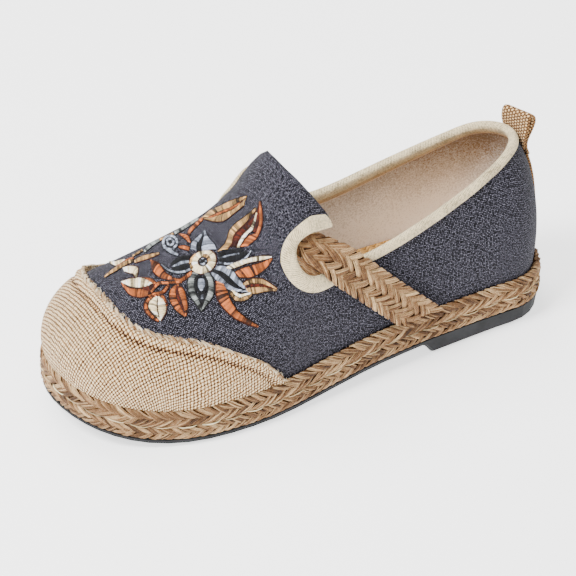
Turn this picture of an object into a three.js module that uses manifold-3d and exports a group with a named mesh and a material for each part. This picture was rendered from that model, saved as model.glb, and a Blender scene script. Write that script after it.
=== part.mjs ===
// A woman's left slip-on cloth shoe on a jute-wrapped rubber sole, in millimetres.
// +X points to the toe, +Y to the outer (left) side of the foot and +Z up. The shoe stands on z = 0, with its
// sole's box centred on the origin. Stations run along the sole from 0 at the heel to 1 at the toe.
import * as THREE from "three";
import { mergeVertices } from "three/addons/utils/BufferGeometryUtils.js";
import Module from "manifold-3d";

const wasm = await Module();
wasm.setup();

// Driving dimensions of the sole
const soleLength = 248; // over the jute wrap
const ballWidth = 100; // over the jute wrap
const heelTipRadius = 38; // in plan, at the back of the heel
const toeTipRadius = 49; // in plan, at the tip of the toe
const rubberThickness = 3.5; // outsole under the forefoot and the waist
const heelLift = 5.5; // how much higher the heel sits than the ball
const toeSpring = 9.5; // how far the tip of the toe is off the floor
const juteHeight = 14.5; // of the jute wrap round the side of the sole
const juteThickness = 3.8;
const juteRound = 1.6; // of the wrap's upper and lower edge
const juteGroove = 1.1; // depth of the groove between the two plaits of the wrap
const rubberInset = 1.3; // the rubber's wall behind the face of the wrap
const treadInset = 4.2; // the tread's edge behind the face of the wrap
const heelTaper = 3.4; // how much further the back of the heel block is undercut
const gap = 0.3; // between pieces that touch

// Driving dimensions of the upper
const upperWall = 1.6; // canvas and its lining
const tuck = 3; // how far the upper reaches down behind the wrap
const insoleThickness = 3;
const instepHeight = 84; // of the tongue's top above the wrap's top edge
const heelHeight = 61.5; // of the collar's back above the wrap's top edge
const toePuff = 2.2; // how far the toe box swells beyond its feather edge
const notchRadius = 10.7; // of the round cut on each side of the tongue
const notchReach = 0.5282; // station of that cut's centre
const notchHeight = 51.4; // of its centre above the wrap's top edge
const bindingThickness = 0.8;
const bindingWidth = 2.5; // along the collar, below the canvas edge
const notchBindingWidth = 6.1; // round the cuts beside the tongue
const notchPinch = 1.6; // how much narrower that band is at its upper front
const notchBandRun = 27; // length of collar over which the band widens to that
const capThickness = 1.6; // burlap toe cap over the upper

// Driving dimensions of the straps, the backstay and the pull loop
const strapWidth = 18;
const strapThickness = 4;
const strapRib = 0.5; // depth of the furrows between the plait's lengthwise ribs
const strapBevel = 1; // how much thinner the plait is at its two edges
const strapLean = 43.5; // degrees that the straps run down towards the heel
const strapRaise = 1; // of the strap's middle line above the cut's centre, across the strap
const backstayWidth = 12;
const backstayThickness = 1.2;
const loopWidth = 15;
const loopThickness = 1.5;
const loopRise = 8; // of the loop's top above the collar
const loopLeg = 11; // length of the loop that is sewn down the back
const loopEye = 2; // widest gap inside the loop
const loopTwist = 20; // degrees

// Half widths of the sole, as shares of half the ball width
const plan = [
  { station: 0.06, outer: 0.58, inner: 0.59 },
  { station: 0.15, outer: 0.66, inner: 0.68 },
  { station: 0.27, outer: 0.71, inner: 0.68 },
  { station: 0.4, outer: 0.795, inner: 0.68 },
  { station: 0.52, outer: 0.885, inner: 0.75 },
  { station: 0.62, outer: 0.965, inner: 0.88 },
  { station: 0.7, outer: 1, inner: 0.99 },
  { station: 0.78, outer: 0.985, inner: 1 },
  { station: 0.86, outer: 0.885, inner: 0.93 },
  { station: 0.94, outer: 0.67, inner: 0.72 },
];

// Sections of the last: ridge height as a share of the instep height, how full the section is across, along and
// up, as the exponents of its rounded outline, and how much it swells, as a share of the toe's puff
const sections = [
  { station: 0, ridge: 0.81, across: 2, along: 4, up: 2, puff: 1.1 },
  { station: 0.13, ridge: 0.81, across: 2, along: 4, up: 2, puff: 1.1 },
  { station: 0.22, ridge: 0.82, across: 2.15, along: 3.5, up: 2, puff: 0.8 },
  { station: 0.31, ridge: 0.845, across: 2.3, along: 3, up: 2, puff: 0.5 },
  { station: 0.41, ridge: 0.89, across: 2, along: 2.5, up: 2, puff: 0.3 },
  { station: 0.48, ridge: 0.95, across: 2.2, along: 2.5, up: 2, puff: 0.4 },
  { station: 0.54, ridge: 1, across: 2.4, along: 2.4, up: 2, puff: 0.4 },
  { station: 0.59, ridge: 0.83, across: 2.3, along: 2.3, up: 2, puff: 0.5 },
  { station: 0.65, ridge: 0.7, across: 2.2, along: 2.2, up: 2, puff: 0.6 },
  { station: 0.72, ridge: 0.605, across: 2.2, along: 2.2, up: 2, puff: 0.7 },
  { station: 0.8, ridge: 0.53, across: 2.3, along: 2.3, up: 2.1, puff: 0.8 },
  { station: 0.87, ridge: 0.5, across: 2.4, along: 2.4, up: 2.2, puff: 0.9 },
  { station: 0.94, ridge: 0.41, across: 2.5, along: 2.5, up: 2.3, puff: 1 },
  { station: 1, ridge: 0.28, across: 2.5, along: 2.5, up: 2.3, puff: 1 },
];
const heelSpineRadius = 34; // from the back of the heel to the centre of its round
const toeSpineRadius = 44; // from the tip of the toe to the centre of its round

// Height of the collar along the side, as a share of the heel height
const collar = [
  { station: -0.03, height: 0.99 },
  { station: 0.046, height: 0.988 },
  { station: 0.092, height: 0.955 },
  { station: 0.133, height: 0.895 },
  { station: 0.173, height: 0.838 },
  { station: 0.215, height: 0.788 },
  { station: 0.284, height: 0.714 },
  { station: 0.353, height: 0.652 },
  { station: 0.412, height: 0.624 },
  { station: 0.47, height: 0.64 },
];

// Rear edge of the tongue, from its corner beside the cut up to the top: station, and height as a share of
// the instep height
const throat = [
  { station: 0.487, height: 0.71 },
  { station: 0.49, height: 0.748 },
  { station: 0.4955, height: 0.785 },
  { station: 0.504, height: 0.827 },
  { station: 0.5125, height: 0.872 },
  { station: 0.521, height: 0.912 },
  { station: 0.53, height: 0.955 },
  { station: 0.54, height: 0.995 },
  { station: 0.546, height: 1.05 },
];

// Upper edge of the toe cap along each side, with the same two columns
const capOuter = [
  { station: 0.61, height: -0.03 },
  { station: 0.624, height: 0.02 },
  { station: 0.6375, height: 0.078 },
  { station: 0.654, height: 0.135 },
  { station: 0.67, height: 0.182 },
  { station: 0.693, height: 0.225 },
  { station: 0.729, height: 0.285 },
  { station: 0.766, height: 0.335 },
  { station: 0.806, height: 0.367 },
  { station: 0.845, height: 0.392 },
  { station: 0.872, height: 0.412 },
  { station: 0.8875, height: 0.434 },
  { station: 0.898, height: 0.463 },
  { station: 0.9, height: 0.56 },
];
const capInner = [
  { station: 0.6, height: -0.02 },
  { station: 0.63, height: 0.05 },
  { station: 0.67, height: 0.12 },
  { station: 0.72, height: 0.19 },
  { station: 0.77, height: 0.25 },
  { station: 0.82, height: 0.31 },
  { station: 0.855, height: 0.372 },
  { station: 0.875, height: 0.414 },
  { station: 0.8875, height: 0.436 },
  { station: 0.898, height: 0.463 },
  { station: 0.9, height: 0.56 },
];

const breast = { station: 0.285, run: 0.024 }; // front of the heel block, and the run of its round
const stationCount = 32; // steps along each side of the sole
const rowCount = 11; // steps from the feather edge up to the ridge
const collarSteps = 24; // from behind the heel to the cut beside the tongue
const arcSteps = 10; // round that cut
const halvings = 30; // of a range searched for a height

// Cubic interpolation of one column of a table
function lookUp(table, column, station) {
  const last = table.length - 1;
  const at = Math.min(Math.max(station, table[0].station), table[last].station);
  let i = 0;
  while (i < last - 1 && at > table[i + 1].station) i++;
  const slope = (a, b) => (table[b][column] - table[a][column]) / (table[b].station - table[a].station);
  const tangent = (k) => {
    if (k === 0) return slope(0, 1);
    if (k === last) return slope(last - 1, last);
    return slope(k - 1, k + 1);
  };
  const run = table[i + 1].station - table[i].station;
  const t = (at - table[i].station) / run;
  const t2 = t * t;
  const t3 = t2 * t;
  return (
    (2 * t3 - 3 * t2 + 1) * table[i][column] +
    (t3 - 2 * t2 + t) * run * tangent(i) +
    (3 * t2 - 2 * t3) * table[i + 1][column] +
    (t3 - t2) * run * tangent(i + 1)
  );
}

// Plan of the sole. Each half width is kept as its fullness over an ellipse's, so that both tips are round
const tipFullness = (radius) => Math.sqrt((radius * soleLength) / 2) / (ballWidth / 2);
const fullness = [
  { station: 0, outer: tipFullness(heelTipRadius), inner: tipFullness(heelTipRadius) },
  ...plan.map(({ station, outer, inner }) => {
    const ellipse = 2 * Math.sqrt(station * (1 - station));
    return { station, outer: outer / ellipse, inner: inner / ellipse };
  }),
  { station: 1, outer: tipFullness(toeTipRadius), inner: tipFullness(toeTipRadius) },
];
const alongOf = (station) => (station - 0.5) * soleLength;
const stationOf = (x) => x / soleLength + 0.5;

// The outline's point at a turn from 0 at the heel, over pi at the toe on the outer side, round to 2 pi
function outlineAt(turn) {
  const station = (1 - Math.cos(turn)) / 2;
  const side = Math.sin(turn) < 0 ? "inner" : "outer";
  const y = (ballWidth / 2) * lookUp(fullness, side, station) * Math.sin(turn);
  return new THREE.Vector2(alongOf(station), y);
}

// The outline's point moved inwards
function insetAt(turn, inset) {
  const step = 1e-3;
  const run = outlineAt(turn + step).sub(outlineAt(turn - step)).normalize();
  return outlineAt(turn).add(new THREE.Vector2(run.y, -run.x).multiplyScalar(inset));
}

// Turns round the whole outline, with the heel block's front met by a few of its own
const turnOf = (station) => Math.acos(1 - 2 * station);
function turnsWith(extra) {
  const even = Array.from({ length: stationCount + 1 }, (_, i) => (Math.PI * i) / stationCount);
  const clear = even.filter((t) => extra.every((e) => Math.abs(t - e) > 0.3 / stationCount));
  const outer = [...clear, ...extra].sort((a, b) => a - b);
  const inner = outer.slice(1, -1).reverse().map((t) => 2 * Math.PI - t);
  return [...outer, ...inner];
}
const turns = turnsWith([]);
const breastTurns = [0, 0.3, 0.65, 1].map((share) => turnOf(breast.station + share * breast.run));
const soleTurns = turnsWith(breastTurns);

// Heights of the sole along its length
function smoothRamp(from, to, station) {
  const t = Math.min(Math.max((station - from) / (to - from), 0), 1);
  return t * t * (3 - 2 * t);
}
const soleLine = { flatFrom: 0.36, rampTo: 0.68, toeFrom: 0.8, toePower: 2 };
function liftAt(x) {
  const station = stationOf(x);
  const heel = 1 - smoothRamp(soleLine.flatFrom, soleLine.rampTo, station);
  const toe = Math.max(0, (station - soleLine.toeFrom) / (1 - soleLine.toeFrom)) ** soleLine.toePower;
  return heelLift * heel + toeSpring * toe;
}
const wrapFoot = (x) => rubberThickness + liftAt(x);
const wrapTop = (x) => wrapFoot(x) + juteHeight;
const coreTop = (x) => wrapTop(x) - tuck;
function treadAt(x) {
  const past = (stationOf(x) - breast.station) / breast.run;
  const step = Math.sin((Math.min(Math.max(past, 0), 1) * Math.PI) / 2);
  return liftAt(x) * step;
}

// A solid from rows of points that go round it, closed by ladders across its first and last rows
function stack(rows) {
  const count = rows[0].length;
  const half = count / 2;
  const positions = rows.flat().flatMap((p) => [p.x, p.y, p.z]);
  const index = [];
  const face = (a, b, c) => index.push(a, b, c);
  for (let r = 0; r + 1 < rows.length; r++) {
    for (let i = 0; i < count; i++) {
      const j = (i + 1) % count;
      const [a, b, c, d] = [r * count + i, r * count + j, (r + 1) * count + j, (r + 1) * count + i];
      face(a, c, b);
      face(a, d, c);
    }
  }
  const top = (rows.length - 1) * count;
  for (let i = 0; i < half; i++) {
    const [a, b] = [i, i + 1];
    const [c, d] = [(count - i - 1) % count, (count - i) % count];
    face(a, b, c);
    face(a, c, d);
    face(top + a, top + c, top + b);
    face(top + a, top + d, top + c);
  }
  return solidFrom(positions, index);
}

// A ring from a profile of points that goes round it once and closes on itself
function ring(columns) {
  const size = columns[0].length;
  const positions = columns.flat().flatMap((p) => [p.x, p.y, p.z]);
  const index = [];
  columns.forEach((_, i) => {
    const next = (i + 1) % columns.length;
    for (let k = 0; k < size; k++) {
      const up = (k + 1) % size;
      const [a, b, c, d] = [i * size + k, next * size + k, next * size + up, i * size + up];
      index.push(a, c, b, a, d, c);
    }
  });
  return solidFrom(positions, index);
}

// A closed slab between two grids of points that have the same rows and columns
function slab(low, high) {
  const [rows, columns] = [low.length, low[0].length];
  const positions = [...low.flat(), ...high.flat()].flatMap((p) => [p.x, p.y, p.z]);
  const at = (layer, r, c) => layer * rows * columns + r * columns + c;
  const index = [];
  const quad = (a, b, c, d) => index.push(a, b, c, a, c, d);
  for (let r = 0; r + 1 < rows; r++) {
    for (let c = 0; c + 1 < columns; c++) {
      quad(at(0, r, c), at(0, r + 1, c), at(0, r + 1, c + 1), at(0, r, c + 1));
      quad(at(1, r, c), at(1, r, c + 1), at(1, r + 1, c + 1), at(1, r + 1, c));
    }
    quad(at(0, r, 0), at(1, r, 0), at(1, r + 1, 0), at(0, r + 1, 0));
    const end = columns - 1;
    quad(at(0, r, end), at(0, r + 1, end), at(1, r + 1, end), at(1, r, end));
  }
  for (let c = 0; c + 1 < columns; c++) {
    quad(at(0, 0, c), at(0, 0, c + 1), at(1, 0, c + 1), at(1, 0, c));
    const end = rows - 1;
    quad(at(0, end, c), at(1, end, c), at(1, end, c + 1), at(0, end, c + 1));
  }
  return solidFrom(positions, index);
}

// A manifold solid from raw points and triangles, turned to face outwards
function solidFrom(positions, index) {
  const raw = new THREE.BufferGeometry();
  raw.setAttribute("position", new THREE.Float32BufferAttribute(positions, 3));
  raw.setIndex(index);
  return solidOf(raw);
}

function solidOf(geometry) {
  const bare = geometry.clone();
  bare.deleteAttribute("normal");
  bare.deleteAttribute("uv");
  const merged = mergeVertices(bare, 1e-4);
  const corners = merged.index.array;
  const kept = [];
  for (let i = 0; i < corners.length; i += 3) {
    const [a, b, c] = corners.slice(i, i + 3);
    if (a !== b && b !== c && c !== a) kept.push(a, b, c);
  }
  const vertProperties = new Float32Array(merged.attributes.position.array);
  const build = (triVerts) =>
    new wasm.Manifold(new wasm.Mesh({ numProp: 3, vertProperties, triVerts: new Uint32Array(triVerts) }));
  const solid = build(kept);
  if (solid.volume() > 0) return solid;
  const turned = kept.map((_, i) => kept[i - (i % 3) + (2 - (i % 3))]);
  return build(turned);
}

// A side view's outline pushed through the whole width of the shoe
function sidePlate(points) {
  const width = 2 * ballWidth;
  const plate = new THREE.ExtrudeGeometry(new THREE.Shape(points), { depth: width, bevelEnabled: false });
  plate.rotateX(Math.PI / 2).translate(0, width / 2, 0);
  return solidOf(plate);
}

// Surface of the last: a point for a turn round the outline and a rise from 0 at the feather edge to 1 on
// the ridge
const feather = juteThickness + gap;
const spineBack = -soleLength / 2 + heelSpineRadius;
const spineFront = soleLength / 2 - toeSpineRadius;
function lastAt(turn, rise) {
  const foot = insetAt(turn, feather);
  const spine = Math.min(Math.max(foot.x, spineBack), spineFront);
  const swing = (Math.PI / 2) * (1 - rise);
  const guess = stationOf(spine + (foot.x - spine) * Math.sin(swing));
  const shape = (column) => lookUp(sections, column, guess);
  const height = rise > 0 ? Math.cos(swing) ** (2 / shape("up")) : 0;
  const swell = toePuff * shape("puff") * 4 * height * (1 - height);
  const reach = foot.clone().sub(new THREE.Vector2(spine, 0)).length();
  const across = Math.sin(swing) ** (2 / shape("across")) + swell / reach;
  const along = Math.sin(swing) ** (2 / shape("along")) + swell / reach;
  const x = spine + (foot.x - spine) * along;
  const ridge = instepHeight * lookUp(sections, "ridge", stationOf(x));
  return new THREE.Vector3(x, foot.y * across, wrapTop(x) + ridge * height);
}

// Its outward normal, level at the feather edge and without lean to either side on the ridge
function normalAt(turn, rise) {
  const step = 2e-3;
  const [low, high] = [Math.max(rise - step, 0), Math.min(rise + step, 1)];
  const up = lastAt(turn, high).sub(lastAt(turn, low));
  if (rise > 1 - step) {
    const at = lastAt(turn, 1);
    const ridgeAt = (x) => wrapTop(x) + instepHeight * lookUp(sections, "ridge", stationOf(x));
    return new THREE.Vector3(ridgeAt(at.x - 0.5) - ridgeAt(at.x + 0.5), 0, 1).normalize();
  }
  const run = lastAt(turn + step, rise).sub(lastAt(turn - step, rise));
  const normal = up.cross(run);
  if (rise < step) normal.z = 0;
  return normal.normalize();
}
function offsetAt(turn, rise, offset) {
  const on = lastAt(turn, rise);
  const off = on.clone().addScaledVector(normalAt(turn, rise), offset);
  off.z += wrapTop(off.x) - wrapTop(on.x);
  return off;
}

// The last as a closed solid, grown by an offset, with its wall carried down below the wrap's top edge
function lastSolid(offset, drop) {
  const rises = Array.from({ length: rowCount + 1 }, (_, r) => r / rowCount);
  const rows = rises.map((rise) => turns.map((turn) => offsetAt(turn, rise, offset)));
  const foot = rows[0].map((p) => new THREE.Vector3(p.x, p.y, wrapTop(p.x) - drop));
  return stack([foot, ...rows]);
}
const shell = (inside, outside, drop) => lastSolid(outside, drop).subtract(lastSolid(inside, drop + tuck));

// The point of the side wall at a place along the shoe and a height above the floor, between its end rounds
function wallAt(x, z, side, offset) {
  const base = turnOf(stationOf(x));
  const turn = side > 0 ? base : 2 * Math.PI - base;
  let [low, high] = [0, 1];
  if (z < wrapTop(x)) {
    const foot = offsetAt(turn, 0, offset);
    return new THREE.Vector3(foot.x, foot.y, z);
  }
  for (let i = 0; i < halvings; i++) {
    const middle = (low + high) / 2;
    if (lastAt(turn, middle).z < z) low = middle;
    else high = middle;
  }
  return offsetAt(turn, low, offset);
}

// Side view of the collar's edge, from behind the heel, along the side and round the cut beside the tongue
const notch = new THREE.Vector2(alongOf(notchReach), wrapTop(alongOf(notchReach)) + notchHeight);
const place = (row, size) => {
  const x = alongOf(row.station);
  return new THREE.Vector2(x, wrapTop(x) + row.height * size);
};
const collarSide = new THREE.SplineCurve([
  ...collar.map((row) => place(row, heelHeight)),
  new THREE.Vector2(notch.x, notch.y - notchRadius),
]);
const arcAngle = (i) => Math.PI * (i / arcSteps - 0.5);
const notchArc = Array.from({ length: arcSteps }, (_, i) => {
  const angle = arcAngle(i + 1);
  return new THREE.Vector2(Math.cos(angle), Math.sin(angle)).multiplyScalar(notchRadius).add(notch);
});
const throatSide = throat.map((row) => place(row, instepHeight));
const collarPoints = collarSide.getPoints(collarSteps);
const edgePath = [...collarPoints, ...notchArc, ...throatSide];
const boundCount = edgePath.length - throatSide.length + 1;

const roof = 2 * instepHeight; // above the whole shoe

// The edge of the whole opening moved by a distance, positive into the opening
function shiftedEdge(distanceAt) {
  return edgePath.map((point, i) => {
    const before = edgePath[Math.max(i - 1, 0)];
    const after = edgePath[Math.min(i + 1, edgePath.length - 1)];
    const run = after.clone().sub(before).normalize();
    return point.clone().add(new THREE.Vector2(-run.y, run.x).multiplyScalar(distanceAt(i)));
  });
}
const bindingWidthAt = (i) => {
  const near = smoothRamp(notch.x - notchBandRun, notch.x, edgePath[i].x);
  const arc = Math.min(Math.max(i - collarPoints.length + 1, 0), arcSteps);
  const pinch = notchPinch * Math.max(0, Math.sin(2 * arcAngle(arc)));
  return bindingWidth + (notchBindingWidth - bindingWidth) * near - pinch;
};

// Everything above and behind an edge of the whole opening
function openingPlate(edge) {
  const [back, front] = [edge[0].x, edge[edge.length - 1].x];
  return sidePlate([...edge, new THREE.Vector2(front, roof), new THREE.Vector2(back, roof)]);
}

// Everything above the wrap's top edge
function aboveWrap() {
  const reach = soleLength / 2 + capThickness + strapThickness;
  const low = turns.slice(0, stationCount + 1).map((turn) => {
    const x = -reach * Math.cos(turn);
    return new THREE.Vector2(x, wrapTop(x) + gap);
  });
  return sidePlate([...low, new THREE.Vector2(reach, roof), new THREE.Vector2(-reach, roof)]);
}

// Subparts
function makeOutsole() {
  const taper = (turn) => heelTaper * Math.max(0, Math.cos(turn)) ** 2;
  const treadRing = ({ inset, undercut, share }) =>
    soleTurns.map((turn) => {
      const p = insetAt(turn, inset + undercut * taper(turn));
      return new THREE.Vector3(p.x, p.y, treadAt(outlineAt(turn).x) + share * rubberThickness);
    });
  const upperRing = (inset, height) =>
    soleTurns.map((turn) => {
      const p = insetAt(turn, inset);
      return new THREE.Vector3(p.x, p.y, height(p.x));
    });
  const treadEdge = [
    { inset: treadInset, undercut: 1, share: 0 },
    { inset: (treadInset + rubberInset) / 2, undercut: 0.6, share: 0.16 },
    { inset: rubberInset, undercut: 0.4, share: 0.46 },
  ];
  const underWrap = (x) => wrapFoot(x) - gap;
  return stack([
    ...treadEdge.map(treadRing),
    upperRing(rubberInset, underWrap),
    upperRing(feather, underWrap),
    upperRing(feather, coreTop),
  ]);
}

function makeJuteWrap() {
  const profile = [
    { inset: juteThickness, height: 0 },
    { inset: juteRound, height: 0 },
    { inset: 0.25 * juteRound, height: 0.1 },
    { inset: 0, height: 0.25 },
    { inset: 0.3 * juteGroove, height: 0.42 },
    { inset: juteGroove, height: 0.5 },
    { inset: 0.3 * juteGroove, height: 0.58 },
    { inset: 0, height: 0.75 },
    { inset: 0.25 * juteRound, height: 0.9 },
    { inset: juteRound, height: 1 },
    { inset: juteThickness, height: 1 },
  ];
  return ring(
    turns.map((turn) => {
      return profile.map(({ inset, height }) => {
        const p = insetAt(turn, inset);
        return new THREE.Vector3(p.x, p.y, wrapFoot(p.x) + height * juteHeight);
      });
    }),
  );
}

function makeInsole() {
  const inset = feather + upperWall + gap;
  const edgeRound = insoleThickness / 4;
  const ringAt = (extra, rise) =>
    turns.map((turn) => {
      const p = insetAt(turn, inset + extra);
      return new THREE.Vector3(p.x, p.y, coreTop(p.x) + gap + rise);
    });
  return stack([
    ringAt(0, 0),
    ringAt(0, insoleThickness - edgeRound),
    ringAt(edgeRound, insoleThickness),
  ]);
}

function makeUpper() {
  return shell(-upperWall, 0, tuck - gap).subtract(openingPlate(edgePath));
}

function makeToeCap() {
  const front = soleLength;
  const region = (table, side) => {
    const edge = table.map((row) => place(row, instepHeight));
    const half = sidePlate([
      ...edge,
      new THREE.Vector2(front, edge[edge.length - 1].y),
      new THREE.Vector2(front, 0),
      new THREE.Vector2(edge[0].x, 0),
    ]);
    return half.trimByPlane([0, side, 0], 0);
  };
  const both = region(capOuter, 1).add(region(capInner, -1));
  return shell(gap, gap + capThickness, 1).intersect(both).intersect(aboveWrap());
}

function makeBinding() {
  const reach = gap + bindingThickness;
  const bound = (edge) => edge.slice(0, boundCount);
  const outerEdge = bound(shiftedEdge((i) => -bindingWidthAt(i)));
  const rim = bound(shiftedEdge(() => reach));
  const tip = throatSide[0];
  const last = rim.length - 1;
  rim[last] = new THREE.Vector2(tip.x - reach, rim[last - 1].y);
  outerEdge[last] = new THREE.Vector2(tip.x - reach, outerEdge[last - 1].y);
  const band = sidePlate([...outerEdge, ...rim.reverse()]);
  const top = throatSide[throatSide.length - 1];
  const past = sidePlate([
    new THREE.Vector2(tip.x - notchRadius, tip.y - 2 * reach),
    new THREE.Vector2(tip.x, tip.y - 2 * reach),
    ...throatSide,
    new THREE.Vector2(tip.x - notchRadius, top.y),
  ]);
  const skin = shell(-upperWall - reach, reach, tuck);
  const slot = shell(-upperWall - gap, gap, tuck).subtract(openingPlate(shiftedEdge(() => gap)));
  return skin.intersect(band).subtract(past).subtract(slot);
}

// A strap's rows from under the vamp, out through the cut and down to the wrap: distance along the strap
// from the cut's centre as a share of its width, the place of its lower edge as a share of half its width,
// and how far its lower and its upper edge stand off the upper, as shares between tucked inside and lying
// on the binding
const strapRows = [
  { along: -0.889, edge: 0.75, low: 0, high: 0 },
  { along: -0.611, edge: 0.75, low: 0, high: 0 },
  { along: -0.389, edge: 0.75, low: 0, high: 0 },
  { along: -0.222, edge: 0.74, low: 0.2, high: 0 },
  { along: -0.056, edge: 0.74, low: 0.6, high: 0 },
  { along: 0.111, edge: 0.78, low: 0.92, high: 0.1 },
  { along: 0.278, edge: 0.86, low: 1.03, high: 0.36 },
  { along: 0.444, edge: 0.94, low: 1.05, high: 0.72 },
  { along: 0.611, edge: 0.98, low: 1.04, high: 0.95 },
  { along: 0.833, edge: 1, low: 1, high: 1.03 },
  { along: 1.222, edge: 1, low: 1, high: 1 },
  { along: 1.889, edge: 1, low: 1, high: 1 },
  { along: 2.556, edge: 1, low: 1, high: 1 },
  { along: 3.222, edge: 1, low: 1, high: 1 },
  { along: 4.444, edge: 1, low: 1, high: 1 },
];
const strapColumns = 6;

function makeStrap(side) {
  const inside = -(upperWall + 4 * gap + bindingThickness + strapThickness);
  const outside = 3 * gap + bindingThickness;
  const lean = THREE.MathUtils.degToRad(strapLean);
  const way = new THREE.Vector2(-Math.cos(lean), -Math.sin(lean));
  const across = new THREE.Vector2(way.y, -way.x);
  const layer = (thick) =>
    strapRows.map((row) =>
      Array.from({ length: strapColumns + 1 }, (_, c) => {
        const share = c / strapColumns;
        const half = strapWidth / 2;
        const reach = strapRaise - row.edge * half + share * half * (1 + row.edge);
        const p = notch.clone().addScaledVector(way, row.along * strapWidth).addScaledVector(across, reach);
        const stand = inside + (outside - inside) * (row.low + (row.high - row.low) * share);
        const furrow = thick && c % 2 === 0 && c > 0 && c < strapColumns ? strapRib : 0;
        const bevel = thick && (c === 0 || c === strapColumns) ? strapBevel : 0;
        return wallAt(p.x, p.y, side, stand + thick - bevel - furrow);
      }),
    );
  return slab(layer(0), layer(strapThickness)).intersect(aboveWrap());
}

// The point of the heel's back at a distance across it and a height above the floor
function heelAt(y, z, offset) {
  let turn = y / (ballWidth / 2);
  let rise = 0.5;
  for (let round = 0; round < 8; round++) {
    let [low, high] = [0, 1];
    for (let i = 0; i < halvings; i++) {
      rise = (low + high) / 2;
      if (lastAt(turn, rise).z < z) low = rise;
      else high = rise;
    }
    if (y !== 0) turn *= y / lastAt(turn, rise).y;
  }
  return offsetAt(turn, rise, offset);
}
const collarBack = place(collar[1], heelHeight).y;

function makeBackstay() {
  const rows = 8;
  const columns = 4;
  const foot = wrapTop(-soleLength / 2) + 2 * gap;
  const top = collarBack - loopLeg - 2 * gap;
  const layer = (offset) =>
    Array.from({ length: rows + 1 }, (_, r) => {
      const z = foot + ((top - foot) * r) / rows;
      const acrossAt = (c) => (c / columns - 0.5) * backstayWidth;
      return Array.from({ length: columns + 1 }, (_, c) => heelAt(acrossAt(c), z, offset));
    });
  return slab(layer(gap), layer(gap + backstayThickness));
}

// The pull loop is one tape, sewn to the back in two layers that part above the collar to leave an eye. Its
// rows there: how far back in widths of the eye and in layers of tape, how high, and how bowed round the heel
const loopRows = [
  { eyes: 0, layers: 0, rise: 0.35, bend: 0.6 },
  { eyes: 0.2, layers: 0, rise: 0.7, bend: 0.2 },
  { eyes: 0.3, layers: 0.3, rise: 0.92, bend: 0 },
  { eyes: 0.6, layers: 0.7, rise: 1, bend: 0 },
  { eyes: 1, layers: 1.1, rise: 0.92, bend: 0 },
  { eyes: 1.1, layers: 1.4, rise: 0.68, bend: 0.1 },
  { eyes: 0.7, layers: 1.2, rise: 0.3, bend: 0.6 },
];

function makePullLoop() {
  const stand = 3 * gap + bindingThickness;
  const t = loopThickness;
  const columns = 4;
  const acrossAt = (c) => (c / columns - 0.5) * loopWidth;
  const legRow = (z, offset) => {
    const centre = heelAt(0, z, offset);
    const bow = Array.from({ length: columns + 1 }, (_, c) => {
      const p = heelAt(acrossAt(c), z, offset);
      return new THREE.Vector2(p.x - centre.x, p.z - centre.z);
    });
    return { x: centre.x, z: centre.z, bend: 1, bow };
  };
  const legs = [0, 0.35, 0.7, 1].map((share) => collarBack + (share - 1) * loopLeg);
  const inner = legs.map((z) => legRow(z, stand + t / 2));
  const outer = legs.map((z) => legRow(z, stand + gap + 1.5 * t));
  const root = inner[inner.length - 1];
  const eye = loopRows.map(({ eyes, layers, rise, bend }) => ({
    x: root.x - eyes * loopEye - layers * t,
    z: collarBack + rise * loopRise,
    bend,
    bow: root.bow,
  }));
  const path = [...inner, ...eye, ...outer.reverse()];
  const layer = (side) =>
    path.map((p, i) => {
      const before = path[Math.max(i - 1, 0)];
      const after = path[Math.min(i + 1, path.length - 1)];
      const run = new THREE.Vector2(after.x - before.x, after.z - before.z).normalize();
      const twist = THREE.MathUtils.degToRad(loopTwist * (1 - p.bend));
      return p.bow.map((bow, c) => {
        const across = acrossAt(c);
        const x = p.x + (side * run.y * t) / 2 + bow.x * p.bend - across * Math.sin(twist);
        return new THREE.Vector3(x, across * Math.cos(twist), p.z - (side * run.x * t) / 2 + bow.y * p.bend);
      });
    });
  return slab(layer(-1), layer(1));
}

// Finishes
const finish = (color, roughness) => new THREE.MeshStandardMaterial({ color, roughness, metalness: 0 });
const jute = finish("#b08f68", 0.95);
const paleJute = finish("#c9a880", 0.95);
const canvas = finish("#4b4a55", 0.9);
const cream = finish("#ddd5c0", 0.85);
const rubber = finish("#3f4043", 0.6);
const straw = finish("#c79b5a", 0.9);

function meshOf(name, solid, material) {
  const { numProp, numVert, triVerts, vertProperties } = solid.getMesh();
  const positions = new Float32Array(numVert * 3);
  for (let i = 0; i < numVert; i++) positions.set(vertProperties.subarray(i * numProp, i * numProp + 3), i * 3);
  const geometry = new THREE.BufferGeometry();
  geometry.setAttribute("position", new THREE.BufferAttribute(positions, 3));
  geometry.setIndex(new THREE.BufferAttribute(triVerts, 1));
  geometry.computeVertexNormals();
  const mesh = new THREE.Mesh(geometry, material);
  mesh.name = name;
  return mesh;
}

const shoe = new THREE.Group();
shoe.add(meshOf("outsole", makeOutsole(), rubber));
shoe.add(meshOf("jute_wrap", makeJuteWrap(), jute));
shoe.add(meshOf("insole", makeInsole(), straw));
shoe.add(meshOf("upper", makeUpper(), canvas));
shoe.add(meshOf("toe_cap", makeToeCap(), paleJute));
shoe.add(meshOf("collar_binding", makeBinding(), cream));
shoe.add(meshOf("strap_outer", makeStrap(1), jute));
shoe.add(meshOf("strap_inner", makeStrap(-1), jute));
shoe.add(meshOf("backstay", makeBackstay(), jute));
shoe.add(meshOf("pull_loop", makePullLoop(), paleJute));

export default shoe;
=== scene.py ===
import logging
import math
from collections.abc import Callable, Sequence
from dataclasses import dataclass, field
from enum import Enum

import bmesh
import bpy
import numpy as np
from mathutils import Matrix, Vector
from mathutils.bvhtree import BVHTree
from mathutils.kdtree import KDTree


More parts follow.
